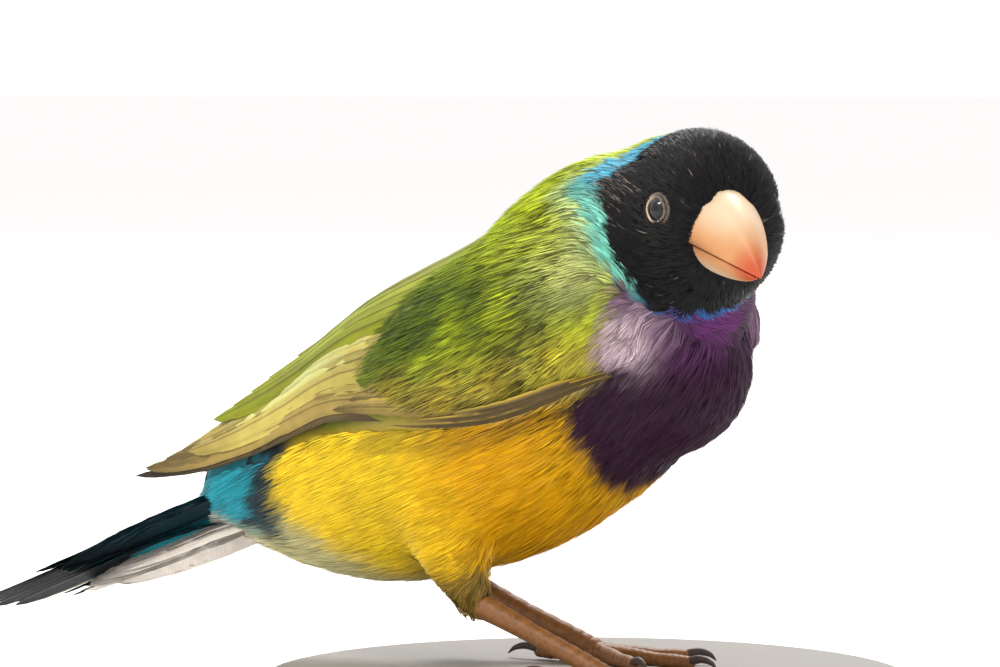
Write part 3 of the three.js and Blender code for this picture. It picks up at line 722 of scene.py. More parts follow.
def swelling(centre: tuple, radii: tuple, turn: Field | None = None) -> Shell:
    """An ellipsoid of plumage that stands fuller than the flesh under it.

    Args:
        centre: its middle.
        radii: its half sizes.
        turn: function that brings its points to the model's frame, if they are not in it.

    Returns:
        The closed shell.
    """
    a = np.linspace(0, 2 * np.pi, 36, endpoint=False)
    rings = []
    for t in np.linspace(-0.99, 0.99, 22):
        r = math.sqrt(1 - t * t)
        ring = np.stack((np.full_like(a, t), r * np.cos(a), r * np.sin(a)), -1) * radii + centre
        rings.append(turn(ring) if turn else ring)
    return tube(np.array(rings), np.zeros((22, 3)))


def add_modifier(piece: bpy.types.Object, kind: str, **values: object) -> None:
    """Adds a modifier to the active object and applies it.

    Args:
        piece: the active object.
        kind: the modifier's type.
        values: its settings.
    """
    step = piece.modifiers.new(kind.title(), kind)
    for name, value in values.items():
        setattr(step, name, value)
    bpy.ops.object.modifier_apply(modifier=step.name)


def make_skin(nodes: dict[str, bpy.types.Object]) -> bpy.types.Object:
    """One smooth skin over the flesh, the coat's depth inside the solids.

    Args:
        nodes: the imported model's nodes by name.

    Returns:
        The skin, in place of the nodes of flesh.
    """
    bpy.ops.object.select_all(action="DESELECT")
    forms = []
    for name in COPIED_FLESH:
        form = nodes[name].copy()
        form.data = nodes[name].data.copy()
        form.parent = None
        form.matrix_world.identity()
        bpy.context.collection.objects.link(form)
        forms.append(form)
    beds = [tail_root(), skull(), neck(), swelling(BREAST_CENTRE, BREAST_RADII)]
    beds.append(swelling(NAPE_CENTRE, NAPE_RADII, from_head))
    beds += [shoulder(side) for side in SIDES.values()]
    for k, bed in enumerate(beds):
        forms.append(bed.build(f"bed_{k}", "skin"))
    for form in forms:
        form.data.materials.clear()
        form.select_set(True)
    skin = forms[0]
    bpy.context.view_layer.objects.active = skin
    bpy.ops.object.join()
    skin.name = "skin"
    bpy.ops.object.mode_set(mode="EDIT")
    bpy.ops.mesh.select_all(action="SELECT")
    bpy.ops.mesh.remove_doubles(threshold=1e-6)
    bpy.ops.mesh.normals_make_consistent(inside=False)
    bpy.ops.object.mode_set(mode="OBJECT")
    add_modifier(skin, "DISPLACE", strength=BRIDGE * MM, mid_level=0.0)
    add_modifier(skin, "REMESH", mode="VOXEL", voxel_size=VOXEL * MM, use_smooth_shade=True)
    add_modifier(skin, "SMOOTH", factor=0.5, iterations=10)
    add_modifier(skin, "DISPLACE", strength=-(BRIDGE + COAT_DEPTH) * MM, mid_level=0.0)
    add_modifier(skin, "SMOOTH", factor=0.5, iterations=4)
    mesh = skin.data
    for layer in list(mesh.color_attributes):
        mesh.color_attributes.remove(layer)
    paint_points(mesh, plumage_colour(read_points(mesh)[0]) * SKIN_SHADE)
    mesh.materials.clear()
    mesh.materials.append(material("skin"))
    log.info("skin: %d faces", len(mesh.polygons))
    return skin


def read_points(mesh: bpy.types.Mesh) -> tuple[np.ndarray, np.ndarray]:
    """The vertices of a mesh in millimetres, and their normals."""
    count = len(mesh.vertices)
    points, normals = np.empty(count * 3, np.float32), np.empty(count * 3, np.float32)
    mesh.vertices.foreach_get("co", points)
    mesh.vertices.foreach_get("normal", normals)
    return points.reshape(-1, 3).astype(float) / MM, normals.reshape(-1, 3).astype(float)


# Coat


# Points on a contour feather's path, and how near the middle of an eye none grows
STATIONS = 4
EYE_CLEAR = 1.8
# Half the size of a feather's patch on the map named OFBake
PATCH_HALF = 0.0015
# Share of barbs on the shoulder that lie in shadow, and how bright these are
GAP_SHARE, GAP_SHADE = 0.3, 0.3
PIECE_LIMIT = 190_000


class Ground:
    """The skin as a surface to grow on: samples, nearest points and their normals."""

    def __init__(self, skin: bpy.types.Object) -> None:
        """Reads the skin's triangles and builds its search tree."""
        mesh = skin.data
        mesh.calc_loop_triangles()
        self.points, self.normals = read_points(mesh)
        triangles = np.empty(len(mesh.loop_triangles) * 3, np.int32)
        mesh.loop_triangles.foreach_get("vertices", triangles)
        self.triangles = triangles.reshape(-1, 3)
        self.tree = BVHTree.FromPolygons(self.points.tolist(), self.triangles.tolist())
        a, b, c = (self.points[self.triangles[:, k]] for k in range(3))
        self.areas = np.linalg.norm(np.cross(b - a, c - a), axis=1) / 2

    def sample(self, density: float, rng: np.random.Generator) -> tuple[np.ndarray, np.ndarray]:
        """Random points and normals, as many per square millimetre as density says."""
        count = int(self.areas.sum() * density)
        pick = rng.choice(len(self.areas), count, p=self.areas / self.areas.sum())
        r1, r2 = np.sqrt(rng.random(count)), rng.random(count)
        weight = np.stack((1 - r1, r1 * (1 - r2), r1 * r2), 1)[..., None]
        corners = self.triangles[pick]
        return (self.points[corners] * weight).sum(1), unit((self.normals[corners] * weight).sum(1))

    def settle(self, p: np.ndarray) -> tuple[np.ndarray, np.ndarray]:
        """The nearest points of the skin to p, and the normals there."""
        placed, facing = np.empty_like(p), np.empty_like(p)
        for k, point in enumerate(p):
            location, _, face, _ = self.tree.find_nearest(Vector(point))
            placed[k] = location
            facing[k] = self.normals[self.triangles[face]].mean(0)
        return placed, unit(facing)


def lie(p: np.ndarray, n: np.ndarray) -> np.ndarray:
    """The direction in which the coat lies: from the bill backwards, and down the body to the tail.

    Args:
        p: points.
        n: the skin's normals there.
    """
    q = to_head(p)
    body = np.broadcast_to(np.array((-1.0, 0.0, -0.42)), p.shape).copy()
    h = p[:, 2] - BASE_HEIGHT
    body[:, 2] -= 0.5 * smooth(2, 12, p[:, 0]) * smooth(34, 30, h)
    body[:, 2] -= 0.2 * smooth(-14, 2, p[:, 0]) * smooth(28, 33, h)
    body[:, 2] += 0.2 * smooth(-20, -40, p[:, 0]) * smooth(16, 10, h)
    legs = smooth(10, 7.5, h) * smooth(-20, -16, p[:, 0])
    body = body * (1 - legs[:, None]) + np.array((0.25, 0, -1.0)) * legs[:, None]
    head = -HEAD_AXES[:, 0] + 0 * p
    share = smooth(-7, 1.5, q[:, 0]) * smooth(13.5, 10.5, np.linalg.norm(q, axis=1))
    way = unit(body) * (1 - share[:, None]) + head * share[:, None]
    way -= n * (way * n).sum(1, keepdims=True)
    return unit(way)


def unwrap(p: np.ndarray) -> np.ndarray:
    """A place on an unwrap of the skin: the head's own island, and the body's beside it."""
    q = to_head(p)
    on_head = (np.linalg.norm(q, axis=1) < 11.5) & (q[:, 0] > -5)
    turn = np.arctan2(p[:, 1], p[:, 2] - BASE_HEIGHT - 24 - 0.28 * p[:, 0]) / (2 * np.pi) + 0.5
    body = np.stack((0.02 + 0.56 * turn, 0.02 + 0.95 * (p[:, 0] + 62) / 84), 1)
    head_turn = np.arctan2(q[:, 1], q[:, 2]) / (2 * np.pi) + 0.5
    head = np.stack((0.62 + 0.35 * head_turn, 0.02 + 0.6 * (q[:, 0] + 6) / 17), 1)
    return np.where(on_head[:, None], head, body)


@dataclass
class Plumage:
    """One kind of contour feather.

    Attributes:
        name: name of the piece.
        slot: the record's material slot; not used.
        density: feathers per square millimetre before thinning.
        length: length of a feather.
        width: breadth of a feather.
        barbs: strips across a feather.
        spans: steps along a strip.
        half: half the breadth of a strip.
        rise: how high the tips stand over the skin.
        shades: brightness at the root and at the tip.
        rough: how much brightness varies from strip to strip.
        fray: how much the strips' ends and directions vary.
    """

    name: str
    slot: str
    density: float
    length: float
    width: float
    barbs: int
    spans: int
    half: float
    rise: float
    shades: tuple[float, float] = (0.45, 1.15)
    rough: float = 0.25
    fray: float = 0.15

    def grow(self, ground: Ground, keep: Field, rng: np.random.Generator) -> Shell:
        """Makes the feathers of this kind.

        Args:
            ground: the skin.
            keep: gives, for points, the share of feathers that grow there.
            rng: seeded random numbers.
        """
        root, normal = ground.sample(self.density, rng)
        chosen = rng.random(len(root)) < keep(root)
        root, normal = root[chosen], normal[chosen]
        eyes = [np.array(sum(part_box(f"eye_{name}"), Vector()) / 2) / MM for name in SIDES]
        for eye in eyes:
            clear = np.linalg.norm(root - eye, axis=1) > EYE_CLEAR
            root, normal = root[clear], normal[clear]
        size = 1 + 0.18 * rng.standard_normal(len(root)).clip(-1.5, 1.5)
        stride = (self.length * size / (STATIONS - 1))[:, None]
        path, facing = [root], [normal]
        for _ in range(STATIONS - 1):
            way = lie(path[-1], facing[-1])
            place, turn = ground.settle(path[-1] + way * stride)
            path.append(place)
            facing.append(turn)
        path, facing = np.stack(path, 1), np.stack(facing, 1)
        return self.strips(path, facing, size, rng)

    def strips(
        self, path: np.ndarray, facing: np.ndarray, size: np.ndarray, rng: np.random.Generator
    ) -> Shell:
        """The feathers' barbs as thin strips along their paths.

        Args:
            path: stations of each feather, shaped (feathers, stations, 3).
            facing: the skin's normals there.
            size: how large each feather is, against its kind.
            rng: seeded random numbers.
        """
        n, stations = path.shape[:2]
        s = np.linspace(-1, 1, self.barbs)
        s = s + rng.uniform(-0.6, 0.6, (n, self.barbs)) / self.barbs
        begin = 0.3 * np.abs(s)
        end = 1 - 0.3 * s**2 - self.fray * rng.random(s.shape)
        steps = np.linspace(0, 1, self.spans + 1)
        t = begin[..., None] + (end - begin)[..., None] * steps
        spot = np.clip(t, 0, 0.9999) * (stations - 1)
        i = spot.astype(int)
        f = (spot - i)[..., None]
        rows = np.arange(n)[:, None, None]
        centre = path[rows, i] * (1 - f) + path[rows, i + 1] * f
        up = unit(facing[rows, i] * (1 - f) + facing[rows, i + 1] * f)
        ahead = unit(path[rows, i + 1] - path[rows, i])
        across = unit(np.cross(up, ahead))
        bow = (0.25 + 0.75 * smooth(0, 0.55, t)) * (1 - 0.2 * smooth(0.6, 1, t))
        stray = self.fray * rng.standard_normal(s.shape)[..., None] * t * 0.5
        offset = self.width / 2 * size[:, None, None] * (s[..., None] * bow + stray)
        level = 0.05 + self.rise * t**1.2 * (1 - 0.35 * s[..., None] ** 2)
        level = level + 0.12 * self.rise * rng.standard_normal(s.shape)[..., None] * t
        centre = centre + across * offset[..., None] + up * level[..., None]
        roll = rng.uniform(-0.55, 0.55, s.shape)[..., None, None]
        blade = across * np.cos(roll) + up * np.sin(roll)
        taper = np.interp(steps, [0, 0.4, 1], [0.7, 1.0, 0.0])[:-1] * self.half
        left = centre[:, :, :-1] + blade[:, :, :-1] * taper[:, None]
        right = centre[:, :, :-1] - blade[:, :, :-1] * taper[:, None]
        pairs = np.stack((left, right), 3).reshape(n, self.barbs, -1, 3)
        points = np.concatenate((pairs, centre[:, :, -1:]), 2)
        per = points.shape[2]
        pattern = []
        for j in range(self.spans - 1):
            a = 2 * j
            pattern += [(a, a + 1, a + 3), (a, a + 3, a + 2)]
        pattern.append((per - 3, per - 2, per - 1))
        starts = np.arange(n * self.barbs) * per
        faces = (starts[:, None, None] + np.array(pattern)).reshape(-1, 3)
        reach = np.append(np.repeat(steps[:-1], 2), 1)
        tint = self.tints(path, reach, s.shape, rng).reshape(-1, 3).clip(0, 1)
        spread = np.stack(np.broadcast_arrays(s[..., None], reach), -1)
        patch = unwrap(path[:, 0])[:, None, None, :] + PATCH_HALF * spread
        return Shell(points.reshape(-1, 3), faces, tint, patch.reshape(-1, 2))

    def tints(
        self, path: np.ndarray, reach: np.ndarray, shape: tuple[int, int], rng: np.random.Generator
    ) -> np.ndarray:
        """The colours of every strip's points: the marking, with the barbs' own light and shade.

        Args:
            path: stations of each feather, shaped (feathers, stations, 3).
            reach: how far along its strip each point lies, from 0 to 1.
            shape: feathers, and strips in each.
            rng: seeded random numbers.
        """
        root = path[:, 0]
        colour = plumage_colour(root * 0.6 + path[:, -1] * 0.4)
        shade = np.interp(reach, [0, 1], self.shades)
        bright = 1 + self.rough * rng.standard_normal(shape).clip(-2, 2)
        bright = bright * (1 + 0.12 * rng.standard_normal((shape[0], 1)))
        shaded = rng.random(shape) < GAP_SHARE * shoulder_share(root)[:, None]
        bright = np.where(shaded, GAP_SHADE * bright, bright)
        tint = colour[:, None, None, :] * (bright[..., None] * shade)[..., None]
        on_head = to_head(root)
        cheek = smooth(3.2, 1.0, on_head[:, 0]) * smooth(4.5, 2.0, on_head[:, 2])
        chance = 0.006 + 0.13 * cheek * smooth(-6.5, -3.5, on_head[:, 2])
        glint = (rng.random(shape) < chance[:, None]) * mask_share(root)[:, None]
        glint = (glint * rng.uniform(0.3, 0.8, shape))[..., None, None]
        return tint * (1 - glint) + Tone.GLINT.linear * glint


def shoulder_share(p: np.ndarray) -> np.ndarray:
    """One over the wing's shoulder, where dark gaps show between the barbs, zero elsewhere."""
    height = p[:, 2] - BASE_HEIGHT
    return smooth(6, 10, np.abs(p[:, 1])) * smooth(24, 28, height) * smooth(9, 6, p[:, 0])


def over_wing(p: np.ndarray) -> np.ndarray:
    """One where the wing's own tiers of feathers lie over the skin, and no contour feather grows."""
    run, slip = wing_place(p)
    top = np.interp(run, [2, 9, 18, 26, 34, 44], [0.0, 0.02, 0.1, 0.28, 0.6, 0.95])
    return smooth(0.0, 0.02, slip) * smooth(top + 0.05, top - 0.05, slip) * smooth(4.0, 7.0, run)


def coat_parts() -> list[tuple[Plumage, Field]]:
    """Each kind of contour feather, and a function for where it grows."""

    def body(p: np.ndarray) -> np.ndarray:
        """One off the mask and the wings' tiers."""
        return (1 - mask_share(p)) * (1 - over_wing(p))

    def low(p: np.ndarray) -> np.ndarray:
        """One below the wings' lower edge, and below the neck."""
        edge = np.interp(p[:, 0], [-42, -13, 7, 12, 18], [19, 25.4, 29, 38, 40])
        return smooth(-1.2, 1.2, edge - (p[:, 2] - BASE_HEIGHT))

    def nape(p: np.ndarray) -> np.ndarray:
        """One on the front end of the upper side."""
        return smooth(1.5, 5.5, p[:, 0])

    def front(p: np.ndarray) -> np.ndarray:
        """One on the breast."""
        return smooth(3.0, 5.5, p[:, 0])

    return [
        (Plumage("coat_mask", "plumage_mask", 6.0, 2.0, 0.9, 8, 2, 0.075, 0.5, (0.5, 1.3), 0.35, 0.25),
         mask_share),
        (Plumage("coat_neck", "plumage_lime", 3.2, 3.0, 1.3, 10, 2, 0.085, 0.65),
         lambda p: body(p) * (1 - low(p)) * nape(p)),
        (Plumage("coat_back", "plumage_lime", 2.4, 5.0, 1.8, 12, 3, 0.085, 0.85, (0.3, 1.2), 0.3, 0.14),
         lambda p: body(p) * (1 - low(p)) * (1 - nape(p))),
        (Plumage("coat_breast", "plumage_gold", 3.0, 3.8, 1.4, 10, 2, 0.075, 0.6, (0.45, 1.1), 0.25, 0.12),
         lambda p: body(p) * low(p) * front(p)),
        (Plumage("coat_belly", "plumage_gold", 2.0, 6.2, 1.8, 12, 3, 0.075, 0.65, (0.82, 1.08), 0.12, 0.2),
         lambda p: body(p) * low(p) * (1 - front(p))),
    ]


# Vanes of wings and tail


@dataclass
class Tier:
    """A row of like feathers of the wing or the tail.

    Attributes:
        count: how many.
        start: run and slip of the first and of the last feather's root.
        end: run and slip of the first and of the last feather's tip.
        width: breadths of the first and of the last feather.
        lift: heights of the first and of the last feather over the wing.
        blunt: where along its length a feather starts to narrow.
        colours: shaft side, outer edge and tip.
        edge: how much of the outer web is pale.
        bow: sideways curve of the feather, in slip.
        tilt: degrees by which the outer edge stands up.
        frayed: how deep the gaps in the edges are, as a share of the breadth.
        flare: how much higher than its root the tip stands.
        rim: how much of the pale tone the outer rim takes.
    """

    count: int
    start: tuple[tuple[float, float], tuple[float, float]]
    end: tuple[tuple[float, float], tuple[float, float]]
    width: tuple[float, float]
    lift: tuple[float, float]
    blunt: float
    colours: tuple[Tone, Tone, Tone]
    edge: float = 0.5
    bow: float = 0.0
    tilt: float = 12.0
    frayed: float = 0.06
    flare: float = 0.0
    rim: float = 0.55


WING_TIERS = (
    # Outermost primaries, the wing's dark lower edge
    Tier(3, ((20, 0.04), (19, 0.1)), ((65, 0.16), (61, 0.2)), (1.9, 2.3), (0.1, 0.25), 0.35,
         (Tone.BROWN, Tone.BROWN, Tone.INK), 0.6, 0.07, 6.0, rim=0.15),
    # Primaries
    Tier(7, ((21, 0.11), (17, 0.3)), ((64, 0.22), (58, 0.45)), (2.4, 4.0), (0.4, 0.75), 0.4,
         (Tone.TAN, Tone.OCHRE, Tone.BROWN), 0.7, 0.07, 8.0, flare=0.6),
    # Secondaries
    Tier(7, ((17, 0.28), (12, 0.56)), ((57, 0.36), (53, 0.66)), (4.2, 4.8), (0.75, 0.95), 0.45,
         (Tone.HAY, Tone.STRAW, Tone.TAN), 0.8, 0.03, 8.0, flare=0.7),
    # Tertials
    Tier(5, ((15, 0.56), (13, 0.88)), ((54, 0.66), (45, 0.93)), (4.8, 5.0), (1.0, 1.15), 0.45,
         (Tone.MOSS, Tone.BACK, Tone.MOSS), 0.6, 0.0, 7.0, flare=1.3, rim=0.12),
    # Primary coverts
    Tier(6, ((11, 0.04), (8, 0.2)), ((34, 0.12), (28, 0.24)), (1.7, 2.8), (0.95, 1.1), 0.4,
         (Tone.TAN, Tone.OCHRE, Tone.BROWN), 0.6, 0.02, 8.0, rim=0.4),
    # Greater coverts
    Tier(9, ((10, 0.2), (10, 0.66)), ((31, 0.26), (26, 0.74)), (3.2, 4.2), (1.1, 1.3), 0.5,
         (Tone.MOSS, Tone.BACK, Tone.OLIVE), 0.6, 0.0, 8.0, rim=0.25),
    # Alula
    Tier(3, ((2, 0.015), (4, 0.05)), ((26, 0.03), (18, 0.07)), (0.7, 1.3), (1.2, 1.3), 0.3,
         (Tone.BROWN, Tone.OCHRE, Tone.TAN), 0.8, 0.0, 6.0, rim=0.3),
)


# Stations across a vane, from its inner edge over the shaft to its outer edge, and along it
VANE_ACROSS = np.array(
    (-1, -0.9, -0.72, -0.5, -0.28, -0.12, -0.05, 0.0, 0.05, 0.14, 0.35, 0.6, 0.82, 0.94, 1)
)[None, :]
VANE_ROWS = 30
# Half breadth of the shaft as a share of the vane's, and its height
SHAFT_HALF, SHAFT_HEIGHT = 0.05, 0.09
# Length of vane for one unit of the map named Vane
VANE_UNIT = 22


def vane(
    place: Surface, start: np.ndarray, end: np.ndarray, width: float, lift: float, tier: Tier, side: int,
    cell: tuple, rng: np.random.Generator,
) -> Shell:
    """One feather: a thin, slightly curled vane with a raised shaft.

    Args:
        place: function of run, slip, side and lift that gives a point.
        start: run and slip of the root.
        end: run and slip of the tip.
        width: breadth.
        lift: height over the surface.
        tier: the row that the feather is of.
        side: -1 or 1.
        cell: lower corner and size of the feather's own rectangle on the map.
        rng: seeded random numbers.
    """
    rows, k = VANE_ROWS, VANE_ACROSS
    t = np.linspace(0, 1, rows)[:, None]
    run = start[0] + (end[0] - start[0]) * t
    slip = start[1] + (end[1] - start[1]) * t + tier.bow * np.sin(np.pi * t)
    rise = lift - 0.5 * smooth(0.4, 0.0, t) - 0.7 * smooth(0.15, 0.0, t) + tier.flare * t**2
    centre = place(run, slip, side, rise)
    ahead = unit(np.gradient(centre[:, 0], axis=0))[:, None, :]
    normal = unit(place(run, slip, side, rise + 0.5) - centre)
    down = unit(np.cross(ahead, normal)) * -side
    normal = unit(np.cross(down, ahead)) * -side
    tip = np.sqrt(np.clip(1 - ((t - tier.blunt) / (1 - tier.blunt)).clip(0) ** 2, 0.0, 1))
    half = width / 2 * (0.3 + 0.7 * np.minimum(1, t / 0.22)) * np.maximum(tip, 0.02)
    notch = 1 - tier.frayed * (rng.random((rows, 1)) < 0.25) * rng.random((rows, 1)) * (t > 0.3) * 3
    reach = half * np.where(np.abs(k) > 0.9, notch, 1.0) * np.where(k > 0, 0.92, 1.08)
    shaft_line = np.exp(-((k / SHAFT_HALF) ** 2))
    ridge = SHAFT_HEIGHT * shaft_line * (1 - 0.6 * t)
    lean = math.tan(math.radians(tier.tilt))
    curl = -0.16 * width / 2 * k**2
    level = ridge + k * half * lean + curl * np.abs(half) / (width / 2)
    level = level + 0.02 * rng.standard_normal((rows, 1))
    points = centre + down * (k * reach)[..., None] + normal * level[..., None]
    shaft, edge, end_tone = (c.linear for c in tier.colours)
    pale = smooth(1 - tier.edge, 1.0, k) + 0 * t
    colour = mix(shaft + 0 * points, edge, pale)
    colour = mix(colour, end_tone, 0.75 * smooth(0.72, 1.0, t) + 0 * k)
    rim = smooth(0.88, 1.0, k) * smooth(0.15, 0.4, t)
    colour = mix(colour, Tone.PALE_EDGE.linear, tier.rim * rim)
    colour = mix(colour, Tone.INK.linear, 0.6 * shaft_line + 0 * t)
    streak = 1 + 0.16 * np.sin(t * 9 + rng.uniform(0, 6)) * rng.random() + 0.1 * rng.standard_normal(k.shape)
    colour = (colour * streak[..., None] * rng.uniform(0.82, 1.18)).clip(0, 1)
    columns = k.size
    index = np.arange(rows * columns).reshape(rows, columns)
    a, b, c, d = index[:-1, :-1], index[:-1, 1:], index[1:, 1:], index[1:, :-1]
    faces = np.stack((a, d, c, b) if side > 0 else (a, b, c, d), -1).reshape(-1, 4)
    corner, size = cell
    u, v = (k + 1) / 2 + 0 * t, t + 0 * k
    bake = np.stack((corner[0] + size[0] * (0.05 + 0.9 * u), corner[1] + size[1] * (0.03 + 0.94 * v)), -1)
    length = np.linalg.norm(np.diff(centre[:, 0], axis=0), axis=1).sum()
    lines = np.stack((u, v * length / VANE_UNIT), -1)
    flat = [x.reshape(-1, x.shape[-1]) for x in (points, colour, bake, lines)]
    return Shell(flat[0], faces, flat[1], flat[2], flat[3])


def tiers_shell(place: Surface, tiers: tuple[Tier, ...], side: int, rng: np.random.Generator) -> Shell:
    """All the feathers of some tiers, each with its own rectangle on the map.

    Args:
        place: function that gives a point of the wing or the tail.
        tiers: the rows.
        side: -1 or 1.
        rng: seeded random numbers.
    """
    total = sum(tier.count for tier in tiers)
    columns = math.ceil(math.sqrt(total * 3))
    lines = math.ceil(total / columns)
    shells = []
    for tier in tiers:
        for share in np.linspace(0, 1, tier.count) if tier.count > 1 else (0.0,):
            start, end, (width,), (lift,) = (
                (np.atleast_1d(pair[0]) * (1 - share) + np.atleast_1d(pair[1]) * share)
                for pair in (tier.start, tier.end, tier.width, tier.lift)
            )
            start = start + rng.normal(0, (0.25, 0.004))
            end = end + rng.normal(0, (0.5, 0.006))
            number = len(shells)
            cell = ((number % columns) / columns, (number // columns) / lines), (1 / columns, 1 / lines)
            shells.append(vane(place, start, end, width, lift, tier, side, cell, rng))
    return Shell.join(shells)


TAIL_TIERS = (
    # Outer tail feathers
    Tier(6, ((0, 0.98), (1, 0.16)), ((29, 0.98), (37, 0.34)), (3.6, 4.0), (-0.35, 0.85), 0.7,
         (Tone.INK, Tone.NAVY, Tone.INK), 0.5, 0.0, -8.0),
    # Long central feather
    Tier(1, ((0, 0.12), (0, 0.12)), ((52, 0.14), (52, 0.14)), (3.2, 3.2), (1.1, 1.1), 0.2,
         (Tone.INK, Tone.NAVY, Tone.INK), 0.4, 0.0, -8.0),
    # Long and short coverts
    Tier(6, ((-4, 0.9), (-2, 0.1)), ((18, 0.8), (30, 0.12)), (3.0, 3.2), (1.2, 1.7), 0.4,
         (Tone.NAVY, Tone.TEAL, Tone.INK), 0.7, 0.0, -8.0, 0.14),
    Tier(5, ((-5, 0.85), (-4, 0.1)), ((10, 0.85), (18, 0.1)), (3.4, 3.8), (1.7, 2.1), 0.4,
         (Tone.TEAL, Tone.TEAL, Tone.NAVY), 0.6, 0.0, -8.0, 0.14),
)
SIDE_TAIL_TIERS = (
    Tier(5, ((-5, 1.15), (-4, 0.8)), ((15, 1.05), (24, 0.8)), (2.4, 2.6), (0.35, 0.9), 0.4,
         (Tone.NAVY, Tone.TEAL, Tone.INK), 1.1, 0.0, -50.0, 0.14, rim=0.0),
)
UNDERTAIL_TIERS = (
    Tier(6, ((-5, 0.9), (-4, 0.1)), ((17, 0.75), (25, 0.15)), (3.8, 4.4), (-1.2, -2.0), 0.45,
         (Tone.PEARL, Tone.PEARL, Tone.PEARL), 0.5, 0.0, 8.0, 0.14),
    Tier(4, ((-6, 1.1), (-5, 0.8)), ((16, 0.95), (22, 0.7)), (3.4, 3.8), (-1.0, -1.6), 0.4,
         (Tone.PEARL, Tone.PEARL, Tone.PEARL), 0.5, 0.0, 38.0, 0.14),
)


def make_wings_and_tail(rng: np.random.Generator) -> None:
    """Builds the tiers of vanes of both wings and of the tail."""
    for name, side in SIDES.items():
        wing = tiers_shell(wing_point, WING_TIERS, side, rng).build(f"wing_vanes_{name}", "vane")
        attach(wing, "root")
        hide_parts(f"wing_{name}")
    groups = (
        ("tail_vanes", TAIL_TIERS + SIDE_TAIL_TIERS, "plumage_tail"),
        ("undertail", UNDERTAIL_TIERS, "plumage_gold"),
    )
    for title, tiers, slot in groups:
        halves = [tiers_shell(tail_point, tiers, side, rng) for side in SIDES.values()]
        for k, half in enumerate(halves):
            half.bake[:, 0] = half.bake[:, 0] / 2 + k / 2
        tail = Shell.join(halves).build(title, "vane")
        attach(tail, "root")
        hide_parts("tail")


# Bill and eyes


BILL_BASE_X, BILL_BASE_Z, BILL_LENGTH, BILL_HALF = 6.4, -0.6, 11.9, 4.15
BILL_DROP, UPPER_HEIGHT, LOWER_HEIGHT = 1.2, 4.9, 2.9
# How much shorter and narrower the lower half is than the upper one
LOWER_SHORT, LOWER_SHARE = 1.3, 0.93
# Nostril: its place behind the bill's base, its half sizes and its depth
NOSTRIL, NOSTRIL_RADII, NOSTRIL_DEPTH = (0.9, 1.9, 4.2), (0.75, 0.42, 0.42), 0.45


def bill_half(lift: int) -> Shell:
    """The upper (lift 1) or lower (-1) half of the bill.

    Args:
        lift: which half.

    Returns:
        A closed shell with the horn's colours.
    """
    length = BILL_LENGTH if lift > 0 else BILL_LENGTH - LOWER_SHORT
    height = UPPER_HEIGHT if lift > 0 else LOWER_HEIGHT
    broad = BILL_HALF * (1 if lift > 0 else LOWER_SHARE)
    t = np.linspace(-0.12, 1, 56)[:, None]
    a = np.linspace(0, 2 * np.pi, 56, endpoint=False)[None, :]
    s = np.clip(t, 0, 1)
    tall = np.maximum(0.16, height * (1 - s**1.9) ** 0.85)
    half = np.maximum(0.14, broad * (1 - s**1.35) ** 0.92)
    edge = BILL_BASE_Z - BILL_DROP * s**1.7 + lift * GAP / 2
    rise = np.clip(np.sin(a), 0, None)
    under = np.clip(np.sin(a), None, 0)
    ridge = 1 - 0.14 * rise
    q = np.stack(
        (
            BILL_BASE_X + t * length + 0 * a,
            half * np.cos(a) * ridge,
            edge + lift * (tall * rise + 0.12 * under * np.minimum(1, tall)),
        ),
        -1,
    )
    if lift > 0:
        for side in SIDES.values():
            pit = np.array((BILL_BASE_X + NOSTRIL[0], side * NOSTRIL[1], BILL_BASE_Z + NOSTRIL[2]))
            near = np.exp(-(((q - pit) / NOSTRIL_RADII) ** 2).sum(-1))
            q = q - near[..., None] * unit(q - (BILL_BASE_X, 0, 0)) * NOSTRIL_DEPTH
    points = from_head(q)
    pale, peach, red, brown = srgb("dcc3a2"), srgb("c98f5c"), srgb("bb4018"), srgb("6b3a24")
    level = (tall * rise + 0 * t) / height
    colour = mix(peach + 0 * points, pale, smooth(0.1, 0.75, level) * smooth(0.9, 0.4, s))
    flush = smooth(0.7, 1.05, s + 0.25 * (1 - level) * smooth(0.4, 0.8, s) - 0.1)
    colour = mix(colour, red, 0.85 * flush)
    # Painted shadow: brown along the gape line, fading towards the tip
    gape_shadow = np.exp(-((level / 0.12) ** 2)) * smooth(0.65, 0.1, s)
    colour = mix(colour, brown, 0.55 * gape_shadow + 0 * s)
    colour = mix(colour, brown, 0.45 * smooth(0.06, -0.02, t) + 0 * a)
    shell = tube(points, colour[:, 0])
    shell.tint[: colour.shape[0] * colour.shape[1]] = colour.reshape(-1, 3)
    return shell


EYE_RADIUS = 1.62
# How deep each eye is set
EYE_SUNK = {"right": 0.7, "left": 1.1}
# Radius, thickness, height and brightness of the two rings of bare skin round an eye; the brightness scales
# their painted light
LID_RINGS = ((1.27, 0.16, 1.1, 1.0), (1.58, 0.2, 0.88, 0.6))


def eye_frame(name: str) -> tuple[np.ndarray, np.ndarray, np.ndarray, np.ndarray]:
    """Centre of an eye, and the directions out of it, forward along the head and up."""
    low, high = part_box(f"eye_{name}")
    side = SIDES[name]
    out = HEAD_AXES @ unit(np.array((0.28, side * 1.0, 0.16)))
    centre = np.array((low + high) / 2) / MM - out * EYE_SUNK[name]
    forward = HEAD_AXES[:, 0] - out * (HEAD_AXES[:, 0] @ out)
    forward = unit(forward)
    up = np.cross(out, forward) * -side
    return centre, out, forward, unit(up)


